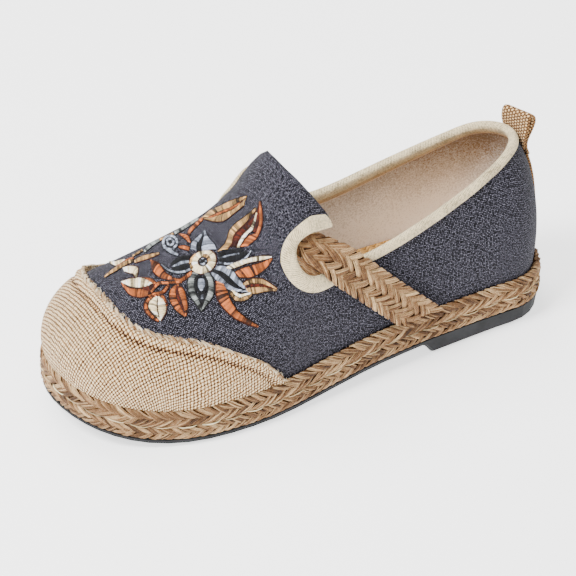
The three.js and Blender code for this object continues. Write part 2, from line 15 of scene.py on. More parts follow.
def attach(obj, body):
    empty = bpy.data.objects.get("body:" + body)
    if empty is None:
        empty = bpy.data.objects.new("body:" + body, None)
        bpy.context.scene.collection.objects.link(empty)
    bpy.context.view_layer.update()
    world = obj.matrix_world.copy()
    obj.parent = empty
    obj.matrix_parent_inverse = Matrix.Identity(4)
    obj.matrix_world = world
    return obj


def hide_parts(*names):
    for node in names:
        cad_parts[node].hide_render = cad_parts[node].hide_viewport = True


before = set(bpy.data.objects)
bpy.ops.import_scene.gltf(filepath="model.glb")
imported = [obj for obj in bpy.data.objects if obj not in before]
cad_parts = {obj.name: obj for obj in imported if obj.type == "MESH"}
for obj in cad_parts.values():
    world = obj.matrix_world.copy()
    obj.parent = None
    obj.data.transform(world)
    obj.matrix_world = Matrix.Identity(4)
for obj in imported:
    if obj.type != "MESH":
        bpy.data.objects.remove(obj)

LOG = logging.getLogger("shoe")
MM = 0.001
BODY = "root"
Array = np.ndarray
Colour = tuple[float, float, float]
Pair = tuple[float, float]
Row = tuple[float, ...]
Random = np.random.Generator
Thing = bpy.types.Object
Material = bpy.types.Material
Socket = bpy.types.NodeSocket
# Places along one ply of a plait, from end to end of its lump, and its thickness there.
PLY_STEPS = np.linspace(-1, 1, 7)
PLY_TAPER = np.array([0.75, 0.95, 1, 1.05, 1, 0.95, 0.75])
# How far a cutting plate goes to each side of the shoe.
REACH = 90


class Side(Enum):
    """The two sides of the foot."""

    OUTER = 1
    INNER = -1


def srgb(red: int, green: int, blue: int) -> Colour:
    """Linear colour of an 8-bit screen colour.

    Args:
        red: Red, 0 to 255.
        green: Green, 0 to 255.
        blue: Blue, 0 to 255.

    Returns:
        The linear red, green and blue.
    """

    def one(value: int) -> float:
        """One channel's linear value."""
        share = value / 255
        return share / 12.92 if share <= 0.04045 else ((share + 0.055) / 1.055) ** 2.4

    return (one(red), one(green), one(blue))


def unit(vectors: Array) -> Array:
    """Vectors of length one, along the last axis."""
    return vectors / np.maximum(np.linalg.norm(vectors, axis=-1, keepdims=True), 1e-12)


def spline(points: Sequence[Pair] | Array, count: int) -> Array:
    """Points along a uniform Catmull-Rom curve.

    Args:
        points: The curve's own points.
        count: How many steps to take along it.

    Returns:
        count + 1 points, evenly spread over the curve's parameter.
    """
    table = np.asarray(points, float)
    last = len(table) - 1
    at = np.linspace(0, last, count + 1)
    i = np.minimum(at.astype(int), last - 1)
    t = (at - i)[:, None]
    first, second = table[i], table[i + 1]
    before = np.where(i[:, None] == 0, table[i], table[np.maximum(i - 1, 0)])
    after = np.where(i[:, None] > last - 2, table[i + 1], table[np.minimum(i + 2, last)])
    v0 = (second - before) / 2
    v1 = (after - first) / 2
    return (
        (2 * first - 2 * second + v0 + v1) * t**3
        + (-3 * first + 3 * second - 2 * v0 - v1) * t**2
        + v0 * t
        + first
    )


def smooth_ramp(low: float, high: float, value: Array) -> Array:
    """0 below low, 1 above high and a smooth rise between."""
    t = np.clip((value - low) / (high - low), 0, 1)
    return t * t * (3 - 2 * t)


def bell(value: Array, middle: float, width: float) -> Array:
    """1 at the middle, with a smooth fall to both sides."""
    return np.exp(-(((value - middle) / width) ** 2))


def halve(below: Callable[[Array], Array], like: Array) -> Array:
    """The highest shares from 0 to 1 that are still below a line, found by halving.

    Args:
        below: Tells for each share whether its point is below the line.
        like: An array with one entry for each share that is wanted.

    Returns:
        The shares.
    """
    low, high = np.zeros_like(like), np.ones_like(like)
    for _ in range(30):
        middle = (low + high) / 2
        short = below(middle)
        low = np.where(short, middle, low)
        high = np.where(short, high, middle)
    return low


def arc_of(line: Array) -> Array:
    """Distance along a line of points, from 0 at its first point."""
    return np.concatenate([[0], np.cumsum(np.linalg.norm(np.diff(line, axis=0), axis=-1))])


def along_line(line: Array, arc: Array, place: float | Array) -> Array:
    """Points of a line at places along it, where arc gives the place of each of its own points."""
    return np.stack([np.interp(place, arc, line[:, k]) for k in range(line.shape[1])], -1)


def resample(line: Array, step: float) -> Array:
    """A line's points at even steps."""
    arc = arc_of(line)
    return along_line(line, arc, np.linspace(0, arc[-1], max(2, round(arc[-1] / step) + 1)))


def nearest_distance(points: Array, line: Array) -> Array:
    """Distance from each point to the nearest point of a dense line."""
    tree = KDTree(len(line))
    for i, p in enumerate(line.tolist()):
        tree.insert(p, i)
    tree.balance()
    return np.array([tree.find(p)[2] for p in points.tolist()])


def raised(points: Array, normals: Array, stand: float | Array) -> Array:
    """Points moved along their normals, by one stand-off or by one for each."""
    return points + normals * np.broadcast_to(np.asarray(stand, float), points.shape[:1])[:, None]


def ply_line(centre: Pair, half: float, bend: float, way: int, apart: float) -> tuple[Array, Array]:
    """One ply of a slanting lump in a plait.

    Args:
        centre: The lump's middle, along and across the plait.
        half: Half its length.
        bend: Its slant, in radians.
        way: 1 where it climbs across the plait, -1 where it goes down.
        apart: The ply's distance from the lump's own middle line.

    Returns:
        The ply's places along the plait and across it.
    """
    along = centre[0] + PLY_STEPS * half * math.cos(bend) - way * apart * math.sin(bend)
    across = centre[1] + way * PLY_STEPS * half * math.sin(bend) + apart * math.cos(bend)
    return along, across


# The last


@dataclass(frozen=True)
class Table:
    """A table by station along the sole, read by cubic interpolation."""

    stations: Row
    values: Row

    def at(self, station: Array) -> Array:
        """The value at each station."""
        x = np.asarray(self.stations)
        y = np.asarray(self.values)
        last = len(x) - 1
        s = np.clip(station, x[0], x[-1])
        i = np.clip(np.searchsorted(x, s, side="left") - 1, 0, last - 1)
        slope = np.empty(len(x))
        slope[1:-1] = (y[2:] - y[:-2]) / (x[2:] - x[:-2])
        slope[0] = (y[1] - y[0]) / (x[1] - x[0])
        slope[-1] = (y[-1] - y[-2]) / (x[-1] - x[-2])
        run = x[i + 1] - x[i]
        t = (s - x[i]) / run
        return (
            (2 * t**3 - 3 * t**2 + 1) * y[i]
            + (t**3 - 2 * t**2 + t) * run * slope[i]
            + (3 * t**2 - 2 * t**3) * y[i + 1]
            + (t**3 - t**2) * run * slope[i + 1]
        )


SECTION_STATIONS = (0, 0.13, 0.22, 0.31, 0.41, 0.48, 0.54, 0.59, 0.65, 0.72, 0.8, 0.87, 0.94, 1)


def section(*values: float) -> Table:
    """A table with one value for each section of the last."""
    return Table(SECTION_STATIONS, values)


@dataclass
class Last:
    """The form that the upper is drawn over, in millimetres: +X to the toe, +Y to the outer side, +Z up."""

    length: float = 248
    width: float = 100
    heel_tip: float = 38
    toe_tip: float = 49
    rubber: float = 3.5
    heel_lift: float = 5.5
    toe_spring: float = 9.5
    wrap_height: float = 14.5
    wrap_depth: float = 3.8
    gap: float = 0.3
    instep: float = 84
    puff_size: float = 2.2
    heel_spine: float = 34
    toe_spine: float = 44
    plan_stations: Row = (0.06, 0.15, 0.27, 0.4, 0.52, 0.62, 0.7, 0.78, 0.86, 0.94)
    plan_outer: Row = (0.58, 0.66, 0.71, 0.795, 0.885, 0.965, 1, 0.985, 0.885, 0.67)
    plan_inner: Row = (0.59, 0.68, 0.68, 0.68, 0.75, 0.88, 0.99, 1, 0.93, 0.72)
    ridge: Table = section(0.81, 0.81, 0.82, 0.845, 0.89, 0.95, 1, 0.83, 0.7, 0.605, 0.53, 0.5, 0.41, 0.28)
    across: Table = section(2, 2, 2.15, 2.3, 2, 2.2, 2.4, 2.3, 2.2, 2.2, 2.3, 2.4, 2.5, 2.5)
    along: Table = section(4, 4, 3.5, 3, 2.5, 2.5, 2.4, 2.3, 2.2, 2.2, 2.3, 2.4, 2.5, 2.5)
    up: Table = section(2, 2, 2, 2, 2, 2, 2, 2, 2, 2, 2.1, 2.2, 2.3, 2.3)
    puff: Table = section(1.1, 1.1, 0.8, 0.5, 0.3, 0.4, 0.4, 0.5, 0.6, 0.7, 0.8, 0.9, 1, 1)
    turn_steps: int = 480
    rise_steps: int = 96
    outer_plan: Table = field(init=False)
    inner_plan: Table = field(init=False)

    def __post_init__(self) -> None:
        """Works out the plan's fullness and the dense grid of the form's surface."""
        self.outer_plan = self._fullness(self.plan_outer)
        self.inner_plan = self._fullness(self.plan_inner)
        self.feather = self.wrap_depth + self.gap
        turns = np.linspace(0, 2 * np.pi, self.turn_steps, endpoint=False)
        rises = np.linspace(0, 1, self.rise_steps + 1)
        self.turns, self.rises = turns, rises
        t, r = np.meshgrid(turns, rises)
        self.grid = self.at(t, r)
        self.grid_normals = self.normal(t, r)
        self.grid_cloth = self._cloth_of_grid(t)
        self._build_trees()

    def _fullness(self, widths: Row) -> Table:
        """Half widths kept as their fullness over an ellipse's, so that both tips are round."""
        s = np.asarray(self.plan_stations)
        full = np.asarray(widths) / (2 * np.sqrt(s * (1 - s)))
        heel, toe = (math.sqrt(r * self.length / 2) / (self.width / 2) for r in (self.heel_tip, self.toe_tip))
        return Table((0.0, *self.plan_stations, 1.0), (heel, *full.tolist(), toe))

    def x_of(self, station: Array) -> Array:
        """Place along the shoe of a station."""
        return (np.asarray(station) - 0.5) * self.length

    def station_of(self, x: Array) -> Array:
        """Station of a place along the shoe."""
        return np.asarray(x) / self.length + 0.5

    def outline(self, turn: Array) -> Array:
        """The sole's outline over the jute, at a turn from 0 at the heel over pi at the toe."""
        station = (1 - np.cos(turn)) / 2
        full = np.where(np.sin(turn) < 0, self.inner_plan.at(station), self.outer_plan.at(station))
        return np.stack([self.x_of(station), self.width / 2 * full * np.sin(turn)], -1)

    def inset(self, turn: Array, inset: Array) -> Array:
        """The outline's point moved inwards."""
        step = 1e-3
        run = unit(self.outline(turn + step) - self.outline(turn - step))
        inward = np.stack([run[..., 1], -run[..., 0]], -1)
        return self.outline(turn) + inward * np.asarray(inset)[..., None]

    def lift(self, x: Array) -> Array:
        """How far the heel and the toe spring raise the sole over the floor."""
        s = self.station_of(x)
        heel = 1 - smooth_ramp(0.36, 0.68, s)
        toe = np.maximum(0, (s - 0.8) / 0.2) ** 2
        return self.heel_lift * heel + self.toe_spring * toe

    def wrap_foot(self, x: Array) -> Array:
        """Height of the jute wrap's lower edge."""
        return self.rubber + self.lift(x)

    def wrap_top(self, x: Array) -> Array:
        """Height of the jute wrap's upper edge."""
        return self.wrap_foot(x) + self.wrap_height

    def _spine(self, foot: Array) -> Array:
        """Place on the spine that a point of the feather edge belongs to."""
        return np.clip(foot[..., 0], -self.length / 2 + self.heel_spine, self.length / 2 - self.toe_spine)

    def at(self, turn: Array, rise: Array) -> Array:
        """Surface point at a turn round the outline and a rise from the feather edge to the ridge."""
        foot = self.inset(turn, self.feather)
        spine = self._spine(foot)
        swing = np.pi / 2 * (1 - rise)
        sine, cosine = np.sin(swing), np.maximum(np.cos(swing), 0)
        guess = self.station_of(spine + (foot[..., 0] - spine) * sine)
        height = np.where(rise > 0, cosine ** (2 / self.up.at(guess)), 0)
        swell = self.puff_size * self.puff.at(guess) * 4 * height * (1 - height)
        reach = np.hypot(foot[..., 0] - spine, foot[..., 1])
        across = sine ** (2 / self.across.at(guess)) + swell / reach
        along = sine ** (2 / self.along.at(guess)) + swell / reach
        x = spine + (foot[..., 0] - spine) * along
        z = self.wrap_top(x) + self.instep * self.ridge.at(self.station_of(x)) * height
        return np.stack([x, foot[..., 1] * across, z], -1)

    def normal(self, turn: Array, rise: Array) -> Array:
        """Outward normal, level at the feather edge and without lean to either side on the ridge."""
        step = 2e-3
        up = self.at(turn, np.minimum(rise + step, 1)) - self.at(turn, np.maximum(rise - step, 0))
        run = self.at(turn + step, rise) - self.at(turn - step, rise)
        side = np.cross(up, run)
        side[..., 2] = np.where(rise < step, 0, side[..., 2])
        x = self.at(turn, np.ones_like(rise))[..., 0]
        slope = self.ridge_height(x - 0.5) - self.ridge_height(x + 0.5)
        top = np.stack([slope, np.zeros_like(x), np.ones_like(x)], -1)
        return unit(np.where((rise > 1 - step)[..., None], top, side))

    def ridge_height(self, x: Array) -> Array:
        """Height of the ridge over the floor."""
        return self.wrap_top(x) + self.instep * self.ridge.at(self.station_of(x))

    def offset(self, turn: Array, rise: Array, offset: Array) -> Array:
        """Surface point moved along the normal, its height kept over the wrap's edge."""
        on = self.at(turn, rise)
        off = on + self.normal(turn, rise) * np.asarray(offset)[..., None]
        off[..., 2] += self.wrap_top(off[..., 0]) - self.wrap_top(on[..., 0])
        return off

    def wall(self, x: Array, z: Array, side: Side, offset: Array) -> Array:
        """Point of the side wall at a place along the shoe and a height over the floor."""
        base = np.arccos(np.clip(1 - 2 * self.station_of(x), -1, 1))
        turn = base if side is Side.OUTER else 2 * np.pi - base
        rise = halve(lambda share: self.at(turn, share)[..., 2] < z, x)
        point = self.offset(turn, rise, offset)
        foot = self.offset(turn, np.zeros_like(x), offset)
        foot[..., 2] = z
        return np.where((z < self.wrap_top(x))[..., None], foot, point)

    def _cloth_of_grid(self, turn: Array) -> Array:
        """Flat cloth coordinates of the grid: along and across the shoe from the ridge, by arc length."""
        steps = np.linalg.norm(np.diff(self.grid, axis=0), axis=-1)
        down = np.vstack([np.cumsum(steps[::-1], 0)[::-1], np.zeros((1, steps.shape[1]))])
        foot = self.inset(turn, self.feather)
        spine = self._spine(foot)
        way = unit(np.stack([foot[..., 0] - spine, foot[..., 1]], -1))
        x = np.linspace(-self.length / 2, self.length / 2, 600)
        slope = np.gradient(self.ridge_height(x), x)
        arc = np.concatenate([[0], np.cumsum(np.hypot(1, (slope[1:] + slope[:-1]) / 2) * np.diff(x))])
        centre = np.interp(spine, x, arc - np.interp(0, x, arc))
        return np.stack([centre + down * way[..., 0], down * way[..., 1]], -1)

    def _build_trees(self) -> None:
        """Search trees over the surface in space and over the flat cloth."""
        rows, columns = self.grid.shape[:2]
        a = (np.arange(rows - 1)[:, None] * columns + np.arange(columns)[None]).ravel()
        b = (np.arange(rows - 1)[:, None] * columns + (np.arange(columns)[None] + 1) % columns).ravel()
        self.triangles = np.concatenate(
            [np.stack([a, b, b + columns], -1), np.stack([a, b + columns, a + columns], -1)]
        )
        faces = self.triangles.tolist()
        self.points = self.grid.reshape(-1, 3)
        self.normals = self.grid_normals.reshape(-1, 3)
        self.cloth = self.grid_cloth.reshape(-1, 2)
        flat = np.column_stack([self.cloth, np.zeros(len(self.cloth))])
        self.tree = BVHTree.FromPolygons(self.points.tolist(), faces)
        self.flat_tree = BVHTree.FromPolygons(flat.tolist(), faces)

    def _weights(self, corners: Array, points: Array) -> Array:
        """Barycentric weights of points in their triangles."""
        a, b, c = corners[:, 0], corners[:, 1], corners[:, 2]
        e, f, g = b - a, c - a, points - a
        ee, ef, ff = (e * e).sum(-1), (e * f).sum(-1), (f * f).sum(-1)
        ge, gf = (g * e).sum(-1), (g * f).sum(-1)
        bottom = np.maximum(ee * ff - ef * ef, 1e-12)
        v = (ff * ge - ef * gf) / bottom
        w = (ee * gf - ef * ge) / bottom
        return np.stack([1 - v - w, v, w], -1)

    def nearest(self, points: Array) -> tuple[Array, Array, Array, Array]:
        """The nearest places on the surface.

        Args:
            points: Points near the surface, one in each row.

        Returns:
            Surface points, outward normals, cloth coordinates and distances, negative inside.
        """
        found = [self.tree.find_nearest(p) for p in points.tolist()]
        index = np.array([f[2] for f in found])
        on = np.array([f[0][:] for f in found])
        corners = self.triangles[index]
        weights = self._weights(self.points[corners], on)[..., None]
        normals = unit((self.normals[corners] * weights).sum(1))
        cloth = (self.cloth[corners] * weights).sum(1)
        away = ((points - on) * normals).sum(-1)
        return on, normals, cloth, away

    def settle(self, points: Array, stand: float | Array) -> Array:
        """Points put back on the surface at a stand-off."""
        on, normals, _, _ = self.nearest(points)
        return raised(on, normals, stand)

    def lay(self, cloth: Array, stand: float | Array) -> Array:
        """Flat cloth points laid on the form.

        Args:
            cloth: Cloth coordinates, one pair in each row.
            stand: Distance over the surface, for all or for each.

        Returns:
            The points in space.
        """
        flat = np.column_stack([cloth, np.zeros(len(cloth))])
        found = [self.flat_tree.find_nearest(p) for p in flat.tolist()]
        index = np.array([f[2] for f in found])
        corners = self.triangles[index]
        edges = np.pad(self.cloth[corners], ((0, 0), (0, 0), (0, 1)))
        weights = self._weights(edges, flat)[..., None]
        on = (self.points[corners] * weights).sum(1)
        normals = unit((self.normals[corners] * weights).sum(1))
        return raised(on, normals, stand)


LAST = Last()


# The opening's edge


@dataclass
class Opening:
    """The edge of the shoe's opening, drawn in side view."""

    heel_height: float = 61.5
    notch_radius: float = 10.7
    notch_station: float = 0.5282
    notch_height: float = 51.4
    collar_stations: Row = (-0.03, 0.046, 0.092, 0.133, 0.173, 0.215, 0.284, 0.353, 0.412, 0.47)
    collar_heights: Row = (0.99, 0.988, 0.955, 0.895, 0.838, 0.788, 0.714, 0.652, 0.624, 0.64)
    throat_stations: Row = (0.487, 0.49, 0.4955, 0.504, 0.5125, 0.521, 0.53, 0.54, 0.546)
    throat_heights: Row = (0.71, 0.748, 0.785, 0.827, 0.872, 0.912, 0.955, 0.995, 1.05)
    collar_steps: int = 120
    arc_steps: int = 40
    throat_steps: int = 32

    def __post_init__(self) -> None:
        """Draws the whole edge from behind the heel round the cut and up the tongue."""
        x = float(LAST.x_of(self.notch_station))
        self.notch = np.array([x, float(LAST.wrap_top(x)) + self.notch_height])
        collar = [self.place(s, h * self.heel_height) for s, h in zip(self.collar_stations, self.collar_heights)]
        collar.append((self.notch[0], self.notch[1] - self.notch_radius))
        self.collar = spline(collar, self.collar_steps)
        angle = np.pi * (np.arange(1, self.arc_steps + 1) / self.arc_steps - 0.5)
        self.arc = self.notch + self.notch_radius * np.stack([np.cos(angle), np.sin(angle)], -1)
        throat = [self.place(s, h * LAST.instep) for s, h in zip(self.throat_stations, self.throat_heights)]
        self.throat = spline(throat, self.throat_steps)
        self.edge = np.vstack([self.collar, self.arc, self.throat])

    def place(self, station: float, height: float) -> Pair:
        """Side view's point at a station and a height over the wrap."""
        x = float(LAST.x_of(station))
        return (x, float(LAST.wrap_top(x)) + height)


OPENING = Opening()


# Meshes


def mesh_object(
    name: str,
    points: Array,
    faces: Sequence[Sequence[int]] = (),
    edges: Sequence[Sequence[int]] = (),
    material: Material | None = None,
) -> Thing:
    """A mesh object in the scene from points in millimetres.

    Args:
        name: The object's name.
        points: Its points, flat or by row.
        faces: Its faces.
        edges: Its loose edges.
        material: Its first material.

    Returns:
        The new object, at the origin.
    """
    mesh = bpy.data.meshes.new(name)
    metres = np.asarray(points).reshape(-1, 3) * MM
    mesh.from_pydata(metres.tolist(), [list(e) for e in edges], [list(f) for f in faces])
    mesh.update()
    thing = bpy.data.objects.new(name, mesh)
    bpy.context.scene.collection.objects.link(thing)
    if material:
        mesh.materials.append(material)
    return thing


def dress(thing: Thing, *materials: Material) -> None:
    """Puts finishes on an object in place of its own."""
    thing.data.materials.clear()
    for material in materials:
        thing.data.materials.append(material)


def smooth(thing: Thing, degrees: float = 40) -> None:
    """Smooth shading with sharp edges past an angle."""
    mesh = thing.data
    mesh.polygons.foreach_set("use_smooth", [True] * len(mesh.polygons))
    mesh.set_sharp_from_angle(angle=math.radians(degrees))


def grid_faces(rows: int, columns: int, wrap: bool = False, start: int = 0) -> list[list[int]]:
    """Quads of a grid of points.

    Args:
        rows: Rows of points.
        columns: Points in each row.
        wrap: Whether each row closes on itself.
        start: Number of the grid's first point.

    Returns:
        The corners of each quad.
    """
    across = columns if wrap else columns - 1
    return [
        [
            start + r * columns + c,
            start + r * columns + (c + 1) % columns,
            start + (r + 1) * columns + (c + 1) % columns,
            start + (r + 1) * columns + c,
        ]
        for r in range(rows - 1)
        for c in range(across)
    ]


def stack_object(name: str, rows: Sequence[Array]) -> Thing:
    """A closed solid from rows of points that go round it, with ladders across its two ends."""
    count = len(rows[0])
    half = count // 2
    faces = [[a, d, c, b] for a, b, c, d in grid_faces(len(rows), count, wrap=True)]
    top = (len(rows) - 1) * count
    for i in range(half):
        a, b, c, d = i, i + 1, (count - i - 1) % count, (count - i) % count
        low, high = [a, b, c, d], [top + d, top + c, top + b, top + a]
        faces += [list(dict.fromkeys(low)), list(dict.fromkeys(high))]
    thing = mesh_object(name, np.concatenate(rows), [f for f in faces if len(f) > 2])
    clean(thing)
    return thing


def clean(thing: Thing) -> None:
    """Merges doubled points, drops empty faces and turns all faces outwards."""
    distance = 1e-3 * MM
    work = bmesh.new()
    work.from_mesh(thing.data)
    bmesh.ops.remove_doubles(work, verts=work.verts, dist=distance)
    bmesh.ops.dissolve_degenerate(work, dist=distance, edges=work.edges)
    bmesh.ops.triangulate(work, faces=[f for f in work.faces if len(f.verts) > 4])
    bmesh.ops.recalc_face_normals(work, faces=work.faces)
    if work.calc_volume(signed=True) < 0:
        bmesh.ops.reverse_faces(work, faces=work.faces)
    work.to_mesh(thing.data)
    work.free()


def side_plate(name: str, outline: Array, left: float = REACH, right: float = -REACH) -> Thing:
    """A side view's outline pushed across the shoe.

    Args:
        name: The object's name.
        outline: Its corners as x and z.
        left: Where it ends towards the outer side.
        right: Where it ends towards the inner side.

    Returns:
        The closed plate.
    """
    count = len(outline)
    ends = [np.column_stack([outline[:, 0], np.full(count, y), outline[:, 1]]) for y in (left, right)]
    walls = [[i, (i + 1) % count, count + (i + 1) % count, count + i] for i in range(count)]
    caps = [list(range(count))[::-1], list(range(count, 2 * count))]
    plate = mesh_object(name, np.vstack(ends), walls + caps)
    clean(plate)
    return plate


class Cut(Enum):
    """How one solid works on another."""

    JOIN = "UNION"
    TAKE = "DIFFERENCE"
    KEEP = "INTERSECT"


def carve(thing: Thing, tool: Thing, cut: Cut) -> None:
    """Joins, takes away or keeps what a tool solid covers, and removes the tool."""
    modifier = thing.modifiers.new("cut", "BOOLEAN")
    modifier.operation = cut.value
    modifier.solver = "MANIFOLD"
    modifier.object = tool
    bake_modifiers(thing)
    bpy.data.objects.remove(tool)


def bake_modifiers(thing: Thing) -> None:
    """Turns the evaluated object into its own plain mesh and removes its modifiers."""
    depsgraph = bpy.context.evaluated_depsgraph_get()
    evaluated = thing.evaluated_get(depsgraph)
    fresh = bpy.data.meshes.new_from_object(evaluated, preserve_all_data_layers=True, depsgraph=depsgraph)
    stale = thing.data
    thing.modifiers.clear()
    thing.data = fresh
    fresh.name = thing.name
    bpy.data.meshes.remove(stale)


def points_of(thing: Thing) -> Array:
    """A mesh's points in millimetres."""
    co = np.empty(len(thing.data.vertices) * 3)
    thing.data.vertices.foreach_get("co", co)
    return co.reshape(-1, 3) / MM


def put_uv(thing: Thing, flat: Array) -> None:
    """A UV map from one flat pair of metres for each point."""
    mesh = thing.data
    layer = mesh.uv_layers.get("cloth") or mesh.uv_layers.new(name="cloth")
    corner = np.empty(len(mesh.loops), int)
    mesh.loops.foreach_get("vertex_index", corner)
    layer.data.foreach_set("uv", flat[corner].ravel())


def shell_object(
    name: str, inside: float, outside: float | Array, drop: float, steps: tuple[int, int]
) -> Thing:
    """A wall of the form between two stand-offs, open underneath.

    Args:
        name: The object's name.
        inside: Stand-off of its inner face.
        outside: Stand-off of its outer face, one number or one for each row and turn.
        drop: How far it reaches below the wrap's upper edge.
        steps: Steps round the outline and up to the ridge.

    Returns:
        The closed wall.
    """
    turns = np.linspace(0, 2 * np.pi, steps[0], endpoint=False)
    rises = np.linspace(0, 1, steps[1] + 1)
    t, r = np.meshgrid(turns, rises)

    def solid(offset: float | Array, depth: float) -> Thing:
        """All that lies under a stand-off."""
        rows = LAST.offset(t, r, np.broadcast_to(np.asarray(offset, float), t.shape))
        foot = rows[0].copy()
        foot[:, 2] = LAST.wrap_top(foot[:, 0]) - depth
        return stack_object(name, [foot, *rows])

    wall = solid(outside, drop)
    carve(wall, solid(inside, drop + 3), Cut.TAKE)
    wall.name = name
    return wall


# Threads


def sweep_tree() -> bpy.types.NodeTree:
    """The geometry nodes that sweep a round thread along every line of a mesh.

    Returns:
        A tree with the inputs Sides and Material. The lines' points carry radius and tint.
    """
    tree = bpy.data.node_groups.new("thread along a line", "GeometryNodeTree")
    face = tree.interface
    face.new_socket("Geometry", in_out="INPUT", socket_type="NodeSocketGeometry")
    face.new_socket("Sides", in_out="INPUT", socket_type="NodeSocketInt").default_value = 6
    face.new_socket("Material", in_out="INPUT", socket_type="NodeSocketMaterial")
    face.new_socket("Geometry", in_out="OUTPUT", socket_type="NodeSocketGeometry")
    make = tree.nodes.new
    start, end = make("NodeGroupInput"), make("NodeGroupOutput")
    curve = make("GeometryNodeMeshToCurve")
    radius = make("GeometryNodeInputNamedAttribute")
    radius.inputs["Name"].default_value = "radius"
    thickness = make("GeometryNodeSetCurveRadius")
    length = make("GeometryNodeSplineParameter")
    along = make("GeometryNodeStoreNamedAttribute")
    along.inputs["Name"].default_value = "along"
    circle = make("GeometryNodeCurvePrimitiveCircle")
    circle.inputs["Radius"].default_value = 1
    place = make("GeometryNodeInputPosition")
    around = make("GeometryNodeStoreNamedAttribute")
    around.data_type = "FLOAT_VECTOR"
    around.inputs["Name"].default_value = "around"
    sweep = make("GeometryNodeCurveToMesh")
    sweep.inputs["Fill Caps"].default_value = True
    shade = make("GeometryNodeSetShadeSmooth")
    real = make("GeometryNodeRealizeInstances")
    paint = make("GeometryNodeSetMaterial")
    for source, output, target, entry in (
        (start, "Geometry", curve, "Mesh"),
        (curve, "Curve", thickness, "Curve"),
        (radius, "Attribute", thickness, "Radius"),
        (thickness, "Curve", along, "Geometry"),
        (length, "Length", along, "Value"),
        (start, "Sides", circle, "Resolution"),
        (circle, "Curve", around, "Geometry"),
        (place, "Position", around, "Value"),
        (along, "Geometry", sweep, "Curve"),
        (around, "Geometry", sweep, "Profile Curve"),
        (radius, "Attribute", sweep, "Scale"),
        (sweep, "Mesh", shade, "Geometry"),
        (shade, "Geometry", real, "Geometry"),
        (real, "Geometry", paint, "Geometry"),
        (start, "Material", paint, "Material"),
        (paint, "Geometry", end, "Geometry"),
    ):
        tree.links.new(source.outputs[output], target.inputs[entry])
    return tree


@dataclass
class Lines:
    """Lines of threads collected for one piece: points, radius and tint, in millimetres."""

    points: list[Array] = field(default_factory=list)
    radii: list[Array] = field(default_factory=list)
    tints: list[float] = field(default_factory=list)

    def add(self, points: Array, radius: float | Array, tint: float = 0.5) -> None:
        """Adds one line.

        Args:
            points: Its points.
            radius: One radius, or one for each point.
            tint: A number from 0 to 1 that its finish reads.
        """
        self.points.append(np.asarray(points))
        self.radii.append(np.broadcast_to(np.asarray(radius, float), (len(points),)))
        self.tints.append(float(tint))

    def sweep(self, name: str, material: Material, sides: int = 6) -> Thing:
        """One mesh of round threads along all the lines.

        Args:
            name: The piece's name.
            material: Its finish.
            sides: Faces round each thread.

        Returns:
            The finished piece.
        """
        edges, start = [], 0
        for line in self.points:
            edges += [[start + i, start + i + 1] for i in range(len(line) - 1)]
            start += len(line)
        thing = mesh_object(name, np.vstack(self.points), edges=edges)
        counts = [len(p) for p in self.points]
        radius = thing.data.attributes.new("radius", "FLOAT", "POINT")
        radius.data.foreach_set("value", np.concatenate(self.radii) * MM)
        tint = thing.data.attributes.new("tint", "FLOAT", "POINT")
        tint.data.foreach_set("value", np.repeat(self.tints, counts))
        tree = bpy.data.node_groups.get("thread along a line") or sweep_tree()
        modifier = thing.modifiers.new("thread", "NODES")
        modifier.node_group = tree
        inputs = {item.name: item.identifier for item in tree.interface.items_tree if item.in_out == "INPUT"}
        modifier[inputs["Sides"]] = sides
        modifier[inputs["Material"]] = material
        bake_modifiers(thing)
        return thing


# Finishes


